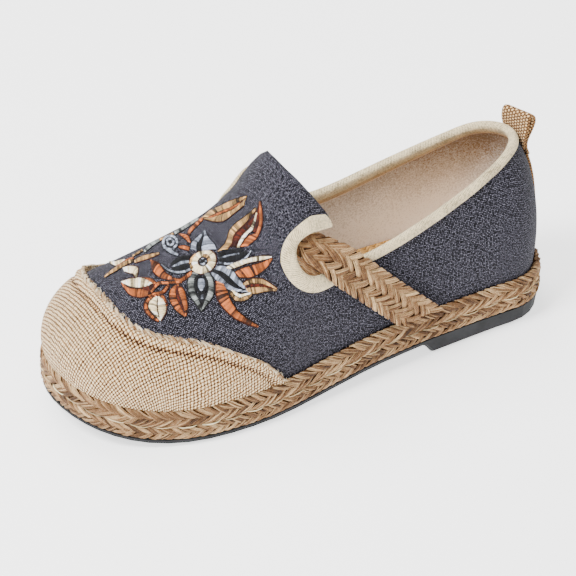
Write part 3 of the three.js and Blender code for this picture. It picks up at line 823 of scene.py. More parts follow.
class Graph:
    """Short calls for building a material's nodes."""

    def __init__(self, name: str) -> None:
        """Starts a material with an empty node tree."""
        self.material = bpy.data.materials.new(name)
        self.material.use_nodes = True
        self.tree = self.material.node_tree
        self.shader = self.tree.nodes["Principled BSDF"]

    def node(self, kind: str, settings: dict[str, object] | None = None, **inputs: object) -> bpy.types.Node:
        """A node with its settings and inputs by name; an underscore stands for a space."""
        made = self.tree.nodes.new("ShaderNode" + kind)
        for key, value in (settings or {}).items():
            setattr(made, key, value)
        for key, value in inputs.items():
            self.feed(made.inputs[key.replace("_", " ")], value)
        return made

    def feed(self, socket: Socket, value: object) -> None:
        """Links a socket or sets its value."""
        if isinstance(value, Socket):
            self.tree.links.new(value, socket)
        else:
            socket.default_value = value

    def math(self, operation: str, first: object, second: object = 0.0) -> Socket:
        """The result of a Math node."""
        made = self.tree.nodes.new("ShaderNodeMath")
        made.operation = operation
        for socket, value in zip(made.inputs, (first, second)):
            self.feed(socket, value)
        return made.outputs[0]

    def plus(self, first: object, second: object) -> Socket:
        """The sum of two values."""
        return self.math("ADD", first, second)

    def times(self, first: object, second: object) -> Socket:
        """The product of two values."""
        return self.math("MULTIPLY", first, second)

    def swing(self, value: object, weight: float) -> Socket:
        """How far a value is from a half, times a weight."""
        return self.times(self.math("SUBTRACT", value, 0.5), weight)

    def wave(self, value: object, pitch: float) -> Socket:
        """Round bumps from 0 to 1, one in each pitch."""
        return self.math("ABSOLUTE", self.math("SINE", self.times(value, math.pi / pitch)))

    def split(self, vector: object) -> list[Socket]:
        """The parts of a vector."""
        return list(self.node("SeparateXYZ", Vector=vector).outputs)

    def join(self, x: object, y: object, z: object = 0.0) -> Socket:
        """A vector from its parts."""
        return self.node("CombineXYZ", X=x, Y=y, Z=z).outputs[0]

    def uv(self) -> Socket:
        """The piece's own UV map."""
        return self.node("TexCoord").outputs["UV"]

    def place(self) -> Socket:
        """Object coordinates."""
        return self.node("TexCoord").outputs["Object"]

    def attribute(self, name: str, output: str = "Fac") -> Socket:
        """A named attribute of the mesh."""
        return self.node("Attribute", {"attribute_name": name}).outputs[output]

    def scaled(self, vector: object, x: float, y: float, z: float) -> Socket:
        """A vector stretched along its axes."""
        return self.node("Mapping", Vector=vector, Scale=(x, y, z)).outputs[0]

    def noise(self, vector: object, scale: float, detail: float = 3, roughness: float = 0.55) -> Socket:
        """Noise of a scale."""
        return self.node("TexNoise", Vector=vector, Scale=scale, Detail=detail, Roughness=roughness).outputs["Fac"]

    def ramp(self, value: object, *stops: tuple[float, Colour]) -> Socket:
        """A colour ramp's colour."""
        made = self.node("ValToRGB", Fac=value)
        elements = made.color_ramp.elements
        while len(elements) < len(stops):
            elements.new(0.5)
        for element, (place, colour) in zip(elements, stops):
            element.position = place
            element.color = (*colour, 1)
        return made.outputs["Color"]

    def level(self, value: object, low: float, high: float) -> Socket:
        """A value moved from a range to 0 to 1 and kept in it."""
        made = self.tree.nodes.new("ShaderNodeMapRange")
        for socket, entry in zip(made.inputs, (value, low, high)):
            self.feed(socket, entry)
        return made.outputs[0]

    def blend(self, share: object, first: object, second: object) -> Socket:
        """Two colours mixed."""
        made = self.node("Mix", {"data_type": "RGBA"})
        for index, value in ((0, share), (6, first), (7, second)):
            colour = (*value, 1) if isinstance(value, tuple) and len(value) == 3 else value
            self.feed(made.inputs[index], colour)
        return made.outputs[2]

    def finish(
        self,
        colour: object,
        height: object | None = None,
        depth: float = 0.0002,
        roughness: float = 0.9,
        sheen: float = 0.0,
        specular: float = 0.3,
    ) -> Material:
        """Feeds the shader and returns the material.

        Args:
            colour: Base colour.
            height: Height that the bump reads, 0 to 1.
            depth: What a height of 1 means, in metres.
            roughness: Roughness.
            sheen: Weight of the fabric's sheen.
            specular: Specular level.

        Returns:
            The finished material.
        """
        self.feed(self.shader.inputs["Base Color"], (*colour, 1) if isinstance(colour, tuple) else colour)
        self.shader.inputs["Roughness"].default_value = roughness
        self.shader.inputs["Sheen Weight"].default_value = sheen
        self.shader.inputs["Specular IOR Level"].default_value = specular
        if height is not None:
            bump = self.node("Bump", Strength=1.0, Distance=depth, Height=height)
            self.tree.links.new(bump.outputs["Normal"], self.shader.inputs["Normal"])
        return self.material


@dataclass(frozen=True)
class CanvasFinish:
    """Blue-grey slub canvas."""

    dark: Colour = srgb(2, 2, 4)
    middle: Colour = srgb(17, 16, 22)
    light: Colour = srgb(124, 122, 136)
    pitch: float = 0.0008

    def material(self) -> Material:
        """The woven finish, on the cloth map."""
        g = Graph("canvas")
        u, v, _ = g.split(g.uv())
        warp = g.wave(u, self.pitch)
        weft = g.wave(v, self.pitch)
        weave = g.times(warp, weft)
        heather_u = g.noise(g.scaled(g.uv(), 1250, 2300, 1), 1, 1, 0.6)
        heather_v = g.noise(g.scaled(g.uv(), 2300, 1250, 1), 1, 1, 0.6)
        heather = g.times(g.plus(heather_u, heather_v), 0.5)
        slub_u = g.noise(g.scaled(g.uv(), 90, 1500, 1), 1, 2)
        slub_v = g.noise(g.scaled(g.uv(), 1500, 90, 1), 1, 2)
        slub = g.math("MAXIMUM", g.level(slub_u, 0.62, 0.8), g.level(slub_v, 0.62, 0.8))
        coarse = g.noise(g.scaled(g.uv(), 620, 620, 1), 1, 2, 0.6)
        mottle = g.plus(g.times(heather, 0.73), g.times(weave, 0.14))
        mottle = g.plus(mottle, g.times(coarse, 0.14))
        base = g.ramp(mottle, (0.42, self.dark), (0.51, self.middle), (0.62, self.light))
        colour = g.blend(g.times(slub, 0.35), base, self.light)
        return g.finish(colour, g.plus(weave, slub), 0.00008, 0.95, 0.05, 0.1)


@dataclass(frozen=True)
class LiningFinish:
    """Cream cotton lining."""

    light: Colour = srgb(252, 246, 238)
    # Colour of the painted shade under the collar, near the top of the lining.
    shade: Colour = srgb(128, 108, 90)
    low: float = 0.036
    high: float = 0.072

    def material(self) -> Material:
        """The plain fine weave, with painted shade: browner towards the top edge."""
        g = Graph("lining")
        soft = g.noise(g.place(), 40, 3)
        grain = g.noise(g.place(), 1300, 2)
        # Painted shade: from low to high on the object's height the lining turns to the shade colour, for the shadow
        # under the collar.
        height = g.level(g.split(g.place())[2], self.low, self.high)
        share = g.plus(height, g.swing(soft, 0.4))
        share = g.plus(share, g.swing(grain, 1.4))
        colour = g.blend(g.level(share, 0.0, 1.0), self.light, self.shade)
        return g.finish(colour, grain, 0.00006, 0.95, 0.1, 0.15)


@dataclass(frozen=True)
class BurlapFinish:
    """Plain-weave burlap with threads on the cloth map."""

    pitch: float = 0.0016
    hole: Colour = srgb(52, 24, 6)
    thread: Colour = srgb(208, 156, 98)
    light: Colour = srgb(255, 234, 192)

    def material(self) -> Material:
        """The weave with its holes, uneven threads and fibres, with painted shade from the shade attribute."""
        g = Graph("burlap")
        flat = g.uv()
        wobble = g.node("TexNoise", Vector=flat, Scale=260.0, Detail=3.0).outputs["Color"]
        shifted = g.node("VectorMath", {"operation": "MULTIPLY_ADD"})
        g.feed(shifted.inputs[0], wobble)
        shifted.inputs[1].default_value = (0.0016, 0.0016, 0)
        g.feed(shifted.inputs[2], flat)
        u, v, _ = g.split(shifted.outputs[0])
        a = g.math("SINE", g.times(u, math.pi / self.pitch))
        b = g.math("SINE", g.times(v, math.pi / self.pitch))
        over = g.math("GREATER_THAN", g.times(a, b), 0)
        a, b = g.math("ABSOLUTE", a), g.math("ABSOLUTE", b)
        warp = g.times(g.math("POWER", a, 1.3), g.math("POWER", b, 0.6))
        weft = g.times(g.math("POWER", b, 1.3), g.math("POWER", a, 0.6))
        height = g.plus(g.times(warp, over), g.times(weft, g.math("SUBTRACT", 1.0, over)))
        fibre = g.noise(flat, 1300, 3, 0.6)
        thick_u = g.noise(g.scaled(flat, 770, 60, 1), 1, 1)
        thick_v = g.noise(g.scaled(flat, 60, 770, 1), 1, 1)
        tone = g.plus(g.times(height, 0.72), g.times(g.plus(thick_u, thick_v), 0.22))
        tone = g.plus(tone, g.swing(fibre, 0.7))
        # Painted shade: the shade attribute darkens the burlap in the crease behind the fold and lightens the strip
        # between the edge and the crease.
        tone = g.math("SUBTRACT", tone, g.times(g.attribute("shade"), 0.22))
        colour = g.ramp(tone, (0.3, self.hole), (0.52, self.thread), (0.84, self.light))
        return g.finish(colour, g.plus(height, g.times(fibre, 0.3)), 0.0006, 0.95, 0.1, 0.15)


@dataclass(frozen=True)
class StrandFinish:
    """Twisted jute fibre on a swept strand."""

    name: str = "jute"
    dark: Colour = srgb(42, 22, 8)
    middle: Colour = srgb(160, 114, 70)
    light: Colour = srgb(255, 222, 170)

    def material(self) -> Material:
        """Long fibres that wind slowly round the strand."""
        g = Graph(self.name)
        along = g.attribute("along")
        x, y, _ = g.split(g.attribute("around", "Vector"))
        angle = g.plus(g.math("ARCTAN2", y, x), g.times(along, 260))
        winding = g.join(g.math("COSINE", angle), g.math("SINE", angle), g.times(along, 90))
        fibre = g.noise(winding, 3.4, 3, 0.6)
        fine = g.noise(winding, 8, 2, 0.6)
        tint = g.attribute("tint")
        patch = g.noise(g.place(), 240, 2)
        tone = g.plus(g.times(fibre, 0.75), g.times(fine, 0.5))
        tone = g.plus(tone, g.swing(tint, 0.3))
        tone = g.plus(tone, g.swing(patch, 0.12))
        colour = g.ramp(tone, (0.46, self.dark), (0.62, self.middle), (0.8, self.light))
        return g.finish(colour, g.plus(fibre, fine), 0.0003, 0.85, 0.1, 0.25)


@dataclass(frozen=True)
class CoreFinish:
    """Packed jute seen in the depth between strands, coloured much darker than the strands as painted shade."""

    name: str
    dark: Colour
    light: Colour
    scale: float = 900

    def material(self) -> Material:
        """Matt fibres in dark painted-shade colours."""
        g = Graph(self.name)
        fibre = g.noise(g.place(), self.scale, 4, 0.65)
        colour = g.ramp(fibre, (0.35, self.dark), (0.7, self.light))
        return g.finish(colour, fibre, 0.0003, 0.95, 0.0, 0.15)


@dataclass(frozen=True)
class BindingFinish:
    """Cream cotton binding with a fine twill."""

    name: str = "binding"
    light: Colour = srgb(248, 228, 184)
    shade: Colour = srgb(104, 86, 54)
    pitch: float = 0.00075

    def material(self) -> Material:
        """Fine slanting ribs on the band's own map."""
        g = Graph(self.name)
        u, v, _ = g.split(g.uv())
        slant = g.plus(g.times(u, 0.92), g.times(v, 0.4))
        rib = g.wave(slant, self.pitch)
        cross = g.wave(v, self.pitch)
        weave = g.times(g.math("POWER", rib, 0.6), g.plus(0.6, g.times(cross, 0.4)))
        soil = g.noise(g.place(), 120, 3)
        fibre = g.noise(g.place(), 1100, 3, 0.65)
        worn = g.plus(soil, g.times(fibre, 1.6))
        tone = g.plus(g.times(weave, 0.35), g.times(worn, 0.4))
        colour = g.ramp(tone, (0.5, self.shade), (0.84, self.light))
        return g.finish(colour, g.plus(weave, fibre), 0.0003, 0.9, 0.2, 0.2)


@dataclass(frozen=True)
class TapeFinish:
    """Coarse woven jute tape."""

    name: str
    mapped: bool
    dark: Colour = srgb(44, 24, 8)
    middle: Colour = srgb(166, 120, 72)
    light: Colour = srgb(252, 222, 170)
    pitch: float = 0.0015

    def material(self) -> Material:
        """Staggered lumps of yarn, on the tape's own map or on object coordinates."""
        g = Graph(self.name)
        if self.mapped:
            u, v, _ = g.split(g.uv())
        else:
            _, v, u = g.split(g.place())
        row = g.math("FLOOR", g.math("DIVIDE", v, self.pitch))
        shifted = g.plus(u, g.times(row, 0.5 * self.pitch))
        a = g.wave(shifted, self.pitch)
        b = g.wave(v, self.pitch)
        height = g.times(g.math("POWER", a, 0.8), g.math("POWER", b, 0.6))
        fibre = g.noise(g.place(), 1500, 3, 0.6)
        tone = g.plus(g.times(height, 0.6), g.times(fibre, 0.5))
        colour = g.ramp(tone, (0.34, self.dark), (0.62, self.middle), (0.9, self.light))
        return g.finish(colour, height, 0.0005, 0.9, 0.1, 0.2)


@dataclass(frozen=True)
class StrawFinish:
    """Woven golden straw."""

    dark: Colour = srgb(140, 84, 28)
    light: Colour = srgb(255, 204, 124)
    row: float = 0.005
    pitch: float = 0.0021

    def material(self) -> Material:
        """Rows of slanting straw on object coordinates."""
        g = Graph("straw")
        x, y, _ = g.split(g.place())
        across = g.math("DIVIDE", x, self.row)
        fold = g.math("PINGPONG", across, 0.5)
        rope = g.math("SINE", g.times(fold, math.pi))
        slant = g.plus(g.math("DIVIDE", y, self.pitch), g.times(fold, 2.4))
        strand = g.math("ABSOLUTE", g.math("SINE", g.times(slant, math.pi)))
        height = g.times(g.math("POWER", strand, 0.5), g.plus(0.4, g.times(rope, 0.6)))
        fibre = g.noise(g.place(), 1400, 3)
        tone = g.plus(g.times(height, 0.7), g.times(fibre, 0.35))
        colour = g.ramp(tone, (0.2, self.dark), (0.85, self.light))
        return g.finish(colour, height, 0.0006, 0.7, 0.0, 0.35)


@dataclass(frozen=True)
class RubberFinish:
    """Matt moulded rubber."""

    dark: Colour = srgb(20, 21, 23)
    light: Colour = srgb(38, 39, 42)

    def material(self) -> Material:
        """Fine moulded grain and scuffs."""
        g = Graph("rubber")
        grain = g.noise(g.place(), 1800, 3)
        cloud = g.noise(g.place(), 60, 3)
        colour = g.ramp(cloud, (0.35, self.dark), (0.7, self.light))
        return g.finish(colour, grain, 0.00008, 0.75, 0.0, 0.35)


@dataclass(frozen=True)
class ThreadFinish:
    """Sewing thread of one colour."""

    name: str
    colour: Colour
    shine: float = 0.6

    def material(self) -> Material:
        """Silky cotton with a little change along and between the threads."""
        g = Graph(self.name)
        tint = g.attribute("tint")
        dark = tuple(0.08 * c for c in self.colour)
        light = tuple(min(1.0, 2.4 * c) for c in self.colour)
        tone = g.plus(tint, g.swing(g.noise(g.place(), 900, 2), 0.5))
        colour = g.ramp(tone, (0.0, dark), (0.5, self.colour), (1.0, light))
        return g.finish(colour, None, 0, self.shine, 0.0, 0.25)


# Sub-assemblies


def keep(piece: Thing, slot: str, *nodes: str) -> Thing:
    """Puts a finished piece on the shoe's one body.

    Args:
        piece: The piece.
        slot: The record's material slot for the piece; not used.
        nodes: CAD nodes that it stands for.

    Returns:
        The same piece.
    """
    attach(piece, BODY)
    if nodes:
        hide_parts(*nodes)
    piece.data.calc_loop_triangles()
    LOG.info("%s: %d triangles", piece.name, len(piece.data.loop_triangles))
    return piece


@dataclass
class Sole:
    """Rubber sole with two plaits of jute round its side. Rows are given by their middle and their height."""

    lower_row: Pair = (3.4, 6.6)
    upper_row: Pair = (10.6, 8.3)
    ply_radius: float = 0.36
    ply_step: float = 1.7
    lump: float = 2.05
    lump_reach: float = 0.64
    turn: float = 31
    face_inset: float = 0.75
    shoulders: Pair = (2.4, 11.3)
    groove_at: float = 6.7
    core_inset: float = 2.1
    core_steps: int = 360
    stitch_height: float = 6.8
    stitch_length: float = 9.0
    stitch_gap: float = 2.0
    stitch_radius: float = 0.21
    outline_steps: int = 2000

    def __post_init__(self) -> None:
        """Measures the outline that the plaits go round."""
        self.turns = np.linspace(0, 2 * np.pi, self.outline_steps + 1)
        flat = LAST.outline(self.turns)
        self.arc = arc_of(flat)
        self.perimeter = float(np.linalg.norm(np.diff(flat, axis=0), axis=-1).sum())

    def build(self) -> None:
        """Builds the rubber's finish, the plaits, what they lie on and their running stitch."""
        dress(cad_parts["outsole"], RubberFinish().material())
        keep(self.core(), "jute", "jute_wrap")
        keep(self.plait("wrap_plait_lower", *self.lower_row), "jute")
        keep(self.plait("wrap_plait_upper", *self.upper_row), "jute")
        keep(self.stitches(), "jute")

    def core(self) -> Thing:
        """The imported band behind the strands."""
        turns = np.linspace(0, 2 * np.pi, self.core_steps, endpoint=False)
        face, dip = self.core_inset, self.core_inset + 0.5
        profile = (
            (LAST.wrap_depth, 0.0), (face + 0.6, 0.0), (face, 0.08), (face, 0.44), (dip, 0.5),
            (face, 0.56), (face, 0.9), (dip, 0.97), (LAST.wrap_depth, 0.97),
        )
        rings = []
        for inset, height in profile:
            flat = LAST.inset(turns, np.full_like(turns, inset))
            z = LAST.wrap_foot(flat[:, 0]) + height * LAST.wrap_height
            rings.append(np.column_stack([flat, z]))
        points = np.stack(rings, 1)
        count = len(profile)
        faces = []
        for i in range(len(turns)):
            a, b = i * count, (i + 1) % len(turns) * count
            faces += [[a + k, a + (k + 1) % count, b + (k + 1) % count, b + k] for k in range(count)]
        # Painted shade: the core is far darker than the strands, for the shade in the gaps between them.
        finish = CoreFinish("jute core", srgb(36, 20, 8), srgb(110, 74, 40))
        core = mesh_object("wrap_core", points, faces, material=finish.material())
        clean(core)
        smooth(core)
        return core

    def on_wrap(self, along: Array, height: Array, inset: Array) -> Array:
        """Points at a distance round the wrap, a height on it and an inset from its face."""
        turns = np.interp(np.mod(along, self.perimeter), self.arc, self.turns)
        flat = LAST.inset(turns, inset)
        return np.column_stack([flat, LAST.wrap_foot(flat[:, 0]) + height])

    def plait(self, name: str, centre: float, height: float) -> Thing:
        """One row of flat plait: two columns of slanting lumps that dive under each other.

        Args:
            name: The piece's name.
            centre: Height of its middle on the wrap.
            height: How tall the row is.

        Returns:
            The row's strands.
        """
        lines = Lines()
        rng = np.random.default_rng(5 + int(centre))
        lane = height / 2
        turn = math.radians(self.turn)
        count = round(self.perimeter * math.sin(turn) / self.lump)
        low, high = self.shoulders
        for column in (0, 1):
            way = 1 if column else -1
            for n in range(count):
                bend = turn + rng.normal(0, 0.09)
                half = self.lump_reach * lane / math.sin(turn) * rng.uniform(0.95, 1.1)
                tint = rng.uniform(0.35, 0.65)
                middle = self.perimeter * (n + 0.5 * column) / count + rng.normal(0, 0.3)
                for ply in (-1, 0, 1):
                    apart = ply * self.ply_radius * self.ply_step
                    along, rise = ply_line((middle, (column - 0.5) * lane), half, bend, way, apart)
                    rise = np.clip(rise, -lane + self.ply_radius, lane - self.ply_radius)
                    level = centre + rise
                    edge = np.maximum(level - high, 0) ** 2 * 0.16 + np.maximum(low - level, 0) ** 2 * 0.12
                    groove = 0.5 * (rise / lane) ** 4 * (np.abs(level - self.groove_at) < 2)
                    dive = self.face_inset + 0.9 * PLY_STEPS**2 + 0.2 * ply**2
                    inset = dive + edge + groove + 0.1 * rng.standard_normal()
                    radius = self.ply_radius * rng.uniform(0.85, 1.12) * PLY_TAPER
                    lines.add(self.on_wrap(along, level, inset), radius, tint + rng.uniform(-0.35, 0.35))
        return lines.sweep(name, StrandFinish().material(), sides=5)

    def stitches(self) -> Thing:
        """The pale running stitch between the two rows."""
        step = self.stitch_length + self.stitch_gap
        lines = Lines()
        rng = np.random.default_rng(8)
        bow = np.sin(np.linspace(0, np.pi, 7))
        inset = 1.6 - 1.3 * bow**0.5
        for i in range(int(self.perimeter / step)):
            along = i * step + np.linspace(0, self.stitch_length, len(bow))
            drift = rng.uniform(-0.5, 0.5, 2)
            height = self.stitch_height + rng.uniform(-0.3, 0.3) + np.linspace(drift[0], drift[1], len(bow))
            lines.add(self.on_wrap(along, height, inset), self.stitch_radius, rng.uniform(0.2, 0.8))
        return lines.sweep("wrap_stitch", ThreadFinish("sole thread", srgb(214, 188, 144)).material())


@dataclass
class Upper:
    """The canvas upper with its lining: one wall, open at the collar and underneath."""

    wall: float = 1.6
    tuck: float = 3
    steps: tuple[int, int] = (256, 64)

    def build(self) -> None:
        """Builds the wall and dresses its two faces."""
        shell = shell_object("canvas_upper", -self.wall, 0, self.tuck - LAST.gap, self.steps)
        edge = OPENING.edge
        roof = 2 * LAST.instep
        plate = side_plate("opening", np.vstack([edge, [edge[-1][0], roof], [edge[0][0], roof]]))
        carve(shell, plate, Cut.TAKE)
        _, _, cloth, away = LAST.nearest(points_of(shell))
        put_uv(shell, cloth * MM)
        dress(shell, CanvasFinish().material(), LiningFinish().material())
        for face in shell.data.polygons:
            depth = np.mean([away[i] for i in face.vertices])
            face.material_index = int(depth < -0.75 * self.wall)
        smooth(shell, 50)
        keep(shell, "canvas", "upper")


@dataclass
class ToeCap:
    """Burlap cap with a folded, frayed edge."""

    thickness: float = 1.6
    fold_at: float = 2.2
    fold_height: float = 1.0
    crease_at: float = 4.9
    crease_depth: float = 0.8
    fold_width: float = 1.6
    crease_width: float = 1.0
    # Width of the painted shade in the crease.
    shade_width: float = 0.9
    thread_step: float = 1.3
    fibre_count: int = 620
    fibre_radius: float = 0.14
    toe_middle: tuple[float, float, float] = (95.0, 0.0, 60.0)
    outer_edge: tuple[Pair, ...] = (
        (0.61, -0.03), (0.624, 0.02), (0.6375, 0.078), (0.654, 0.135), (0.67, 0.182), (0.693, 0.225),
        (0.729, 0.285), (0.766, 0.335), (0.806, 0.367), (0.845, 0.392), (0.872, 0.412), (0.8875, 0.434),
        (0.898, 0.463), (0.9, 0.56),
    )
    inner_edge: tuple[Pair, ...] = (
        (0.6, -0.02), (0.63, 0.05), (0.67, 0.12), (0.72, 0.19), (0.77, 0.25), (0.82, 0.31), (0.855, 0.372),
        (0.875, 0.414), (0.8875, 0.436), (0.898, 0.463), (0.9, 0.56),
    )
    steps: tuple[int, int] = (360, 90)

    def side_line(self, side: Side, count: int = 160) -> Array:
        """The cap's edge in side view."""
        rows = self.outer_edge if side is Side.OUTER else self.inner_edge
        return spline([OPENING.place(s, h * LAST.instep) for s, h in rows], count)

    def edge_line(self) -> Array:
        """The cap's edge on the form, from the outer wrap over the ridge to the inner wrap."""
        outer, inner = self.side_line(Side.OUTER), self.side_line(Side.INNER)
        first, last = (math.acos(1 - 2 * float(LAST.station_of(line[0, 0]))) for line in (outer, inner))
        turns = np.linspace(first, 2 * np.pi - last, 500)
        stand = np.full_like(turns, LAST.gap + self.thickness)

        def below(rise: Array) -> Array:
            """Whether the points at a rise are under the cap's edge."""
            p = LAST.offset(turns, rise, stand)
            return p[:, 2] < np.where(np.sin(turns) > 0, np.interp(p[:, 0], *outer.T), np.interp(p[:, 0], *inner.T))

        return LAST.offset(turns, halve(below, turns), stand)

    def build(self) -> None:
        """Builds the cap and its loose threads."""
        edge = self.edge_line()
        turns = np.linspace(0, 2 * np.pi, self.steps[0], endpoint=False)
        t, r = np.meshgrid(turns, np.linspace(0, 1, self.steps[1] + 1))
        surface = LAST.offset(t, r, np.full_like(t, LAST.gap + self.thickness))
        distance = nearest_distance(surface.reshape(-1, 3), edge).reshape(t.shape)
        fold = bell(distance, self.fold_at, self.fold_width) * self.fold_height
        crease = bell(distance, self.crease_at, self.crease_width) * self.crease_depth
        stand = LAST.gap + self.thickness + fold - crease
        shell = shell_object("burlap_cap", LAST.gap, stand, 1, self.steps)
        plates = []
        for side in (Side.OUTER, Side.INNER):
            line = self.side_line(side)
            front = LAST.length
            outline = np.vstack([line, [front, line[-1][1]], [front, 0], [line[0][0], 0]])
            plate = side_plate("cap region", outline)
            square = np.array([[-front, -front], [front, -front], [front, front], [-front, front]])
            half = side_plate("cap half", square, *((REACH, 0) if side is Side.OUTER else (0, -REACH)))
            carve(plate, half, Cut.KEEP)
            plates.append(plate)
        carve(plates[0], plates[1], Cut.JOIN)
        carve(shell, plates[0], Cut.KEEP)
        end, roof = 140, 200
        x = np.linspace(-end, end, 80)
        low = np.column_stack([x, LAST.wrap_top(x) + LAST.gap])
        above = side_plate("above the wrap", np.vstack([low, [end, roof], [-end, roof]]))
        carve(shell, above, Cut.KEEP)
        points = points_of(shell)
        _, _, cloth, _ = LAST.nearest(points)
        put_uv(shell, cloth * MM)
        far = nearest_distance(points, edge)
        # Painted shade for the burlap finish: dark in the crease behind the fold, lighter between the edge and the
        # crease.
        shade = bell(far, self.crease_at, self.shade_width) - 0.25 * (far < self.crease_at - 1)
        shell.data.attributes.new("shade", "FLOAT", "POINT").data.foreach_set("value", shade)
        dress(shell, BurlapFinish().material())
        smooth(shell, 50)
        keep(shell, "burlap", "toe_cap")
        keep(self.fray(edge), "burlap")

    def fray(self, edge: Array) -> Thing:
        """The loops and loose fibres along the cap's edge."""
        rng = np.random.default_rng(3)
        lines = Lines()
        arc = arc_of(edge)
        centre = LAST.nearest(np.array([self.toe_middle]))[0][0]
        for count, thread in ((round(arc[-1] / self.thread_step), self.loop), (self.fibre_count, self.fibre)):
            for i in range(count):
                s = arc[-1] * (i + rng.uniform(0, 1)) / count
                at = along_line(edge, arc, s)
                along = unit(along_line(edge, arc, min(s + 1, arc[-1])) - at + 1e-9)
                inward = unit(centre - at)
                inward = unit(inward - along * (inward @ along))
                points, stand, radius = thread((at, along, inward), rng)
                lines.add(LAST.settle(points, stand), radius, rng.uniform(0, 1))
        finish = StrandFinish("burlap fibre", srgb(104, 62, 26), srgb(216, 176, 124), srgb(255, 244, 214))
        return lines.sweep("cap_fray", finish.material(), sides=5)

    def loop(self, spot: tuple[Array, Array, Array], rng: Random) -> tuple[Array, Array, Array]:
        """A thick thread of the weave that loops over the fold.

        Args:
            spot: Its place on the edge, the edge's direction and the direction over the cap.
            rng: Source of the unevenness.

        Returns:
            Its points, stand-offs and radii.
        """
        at, along, inward = spot
        t = np.linspace(0, 1, 5)[:, None]
        curl = along * rng.normal(0, 0.3)
        way = inward * rng.uniform(1.2, 3.0) + along * rng.uniform(1.6, 3.8)
        points = at - inward * rng.uniform(0, 0.5) + way * t + curl * t * (1 - t) * 4
        stand = 2.0 + rng.uniform(0.4, 1.1) * np.sin(np.pi * t[:, 0])
        radius = rng.uniform(0.36, 0.6) * np.array([0.7, 1, 1.1, 1, 0.7])
        return points, stand, radius

    def fibre(self, spot: tuple[Array, Array, Array], rng: Random) -> tuple[Array, Array, Array]:
        """A thin loose fibre that hangs over the edge.

        Args:
            spot: Its place on the edge, the edge's direction and the direction over the cap.
            rng: Source of the unevenness.

        Returns:
            Its points, stand-offs and radii.
        """
        at, along, inward = spot
        t = np.linspace(0, 1, 5)[:, None]
        curl = along * rng.normal(0, 0.3)
        angle = rng.choice([-1, 1]) * rng.uniform(0.2, 1.5)
        way = (-inward * math.cos(angle) + along * math.sin(angle)) * rng.uniform(1.5, 4.2)
        points = at + inward * rng.uniform(0.0, 3.0) + way * t + curl * t**2
        stand = 2.3 + rng.uniform(-0.3, 0.9) * np.sin(np.pi * t[:, 0]) - 1.5 * t[:, 0] ** 2
        return points, stand, self.fibre_radius * np.array([1, 1, 0.95, 0.8, 0.5])


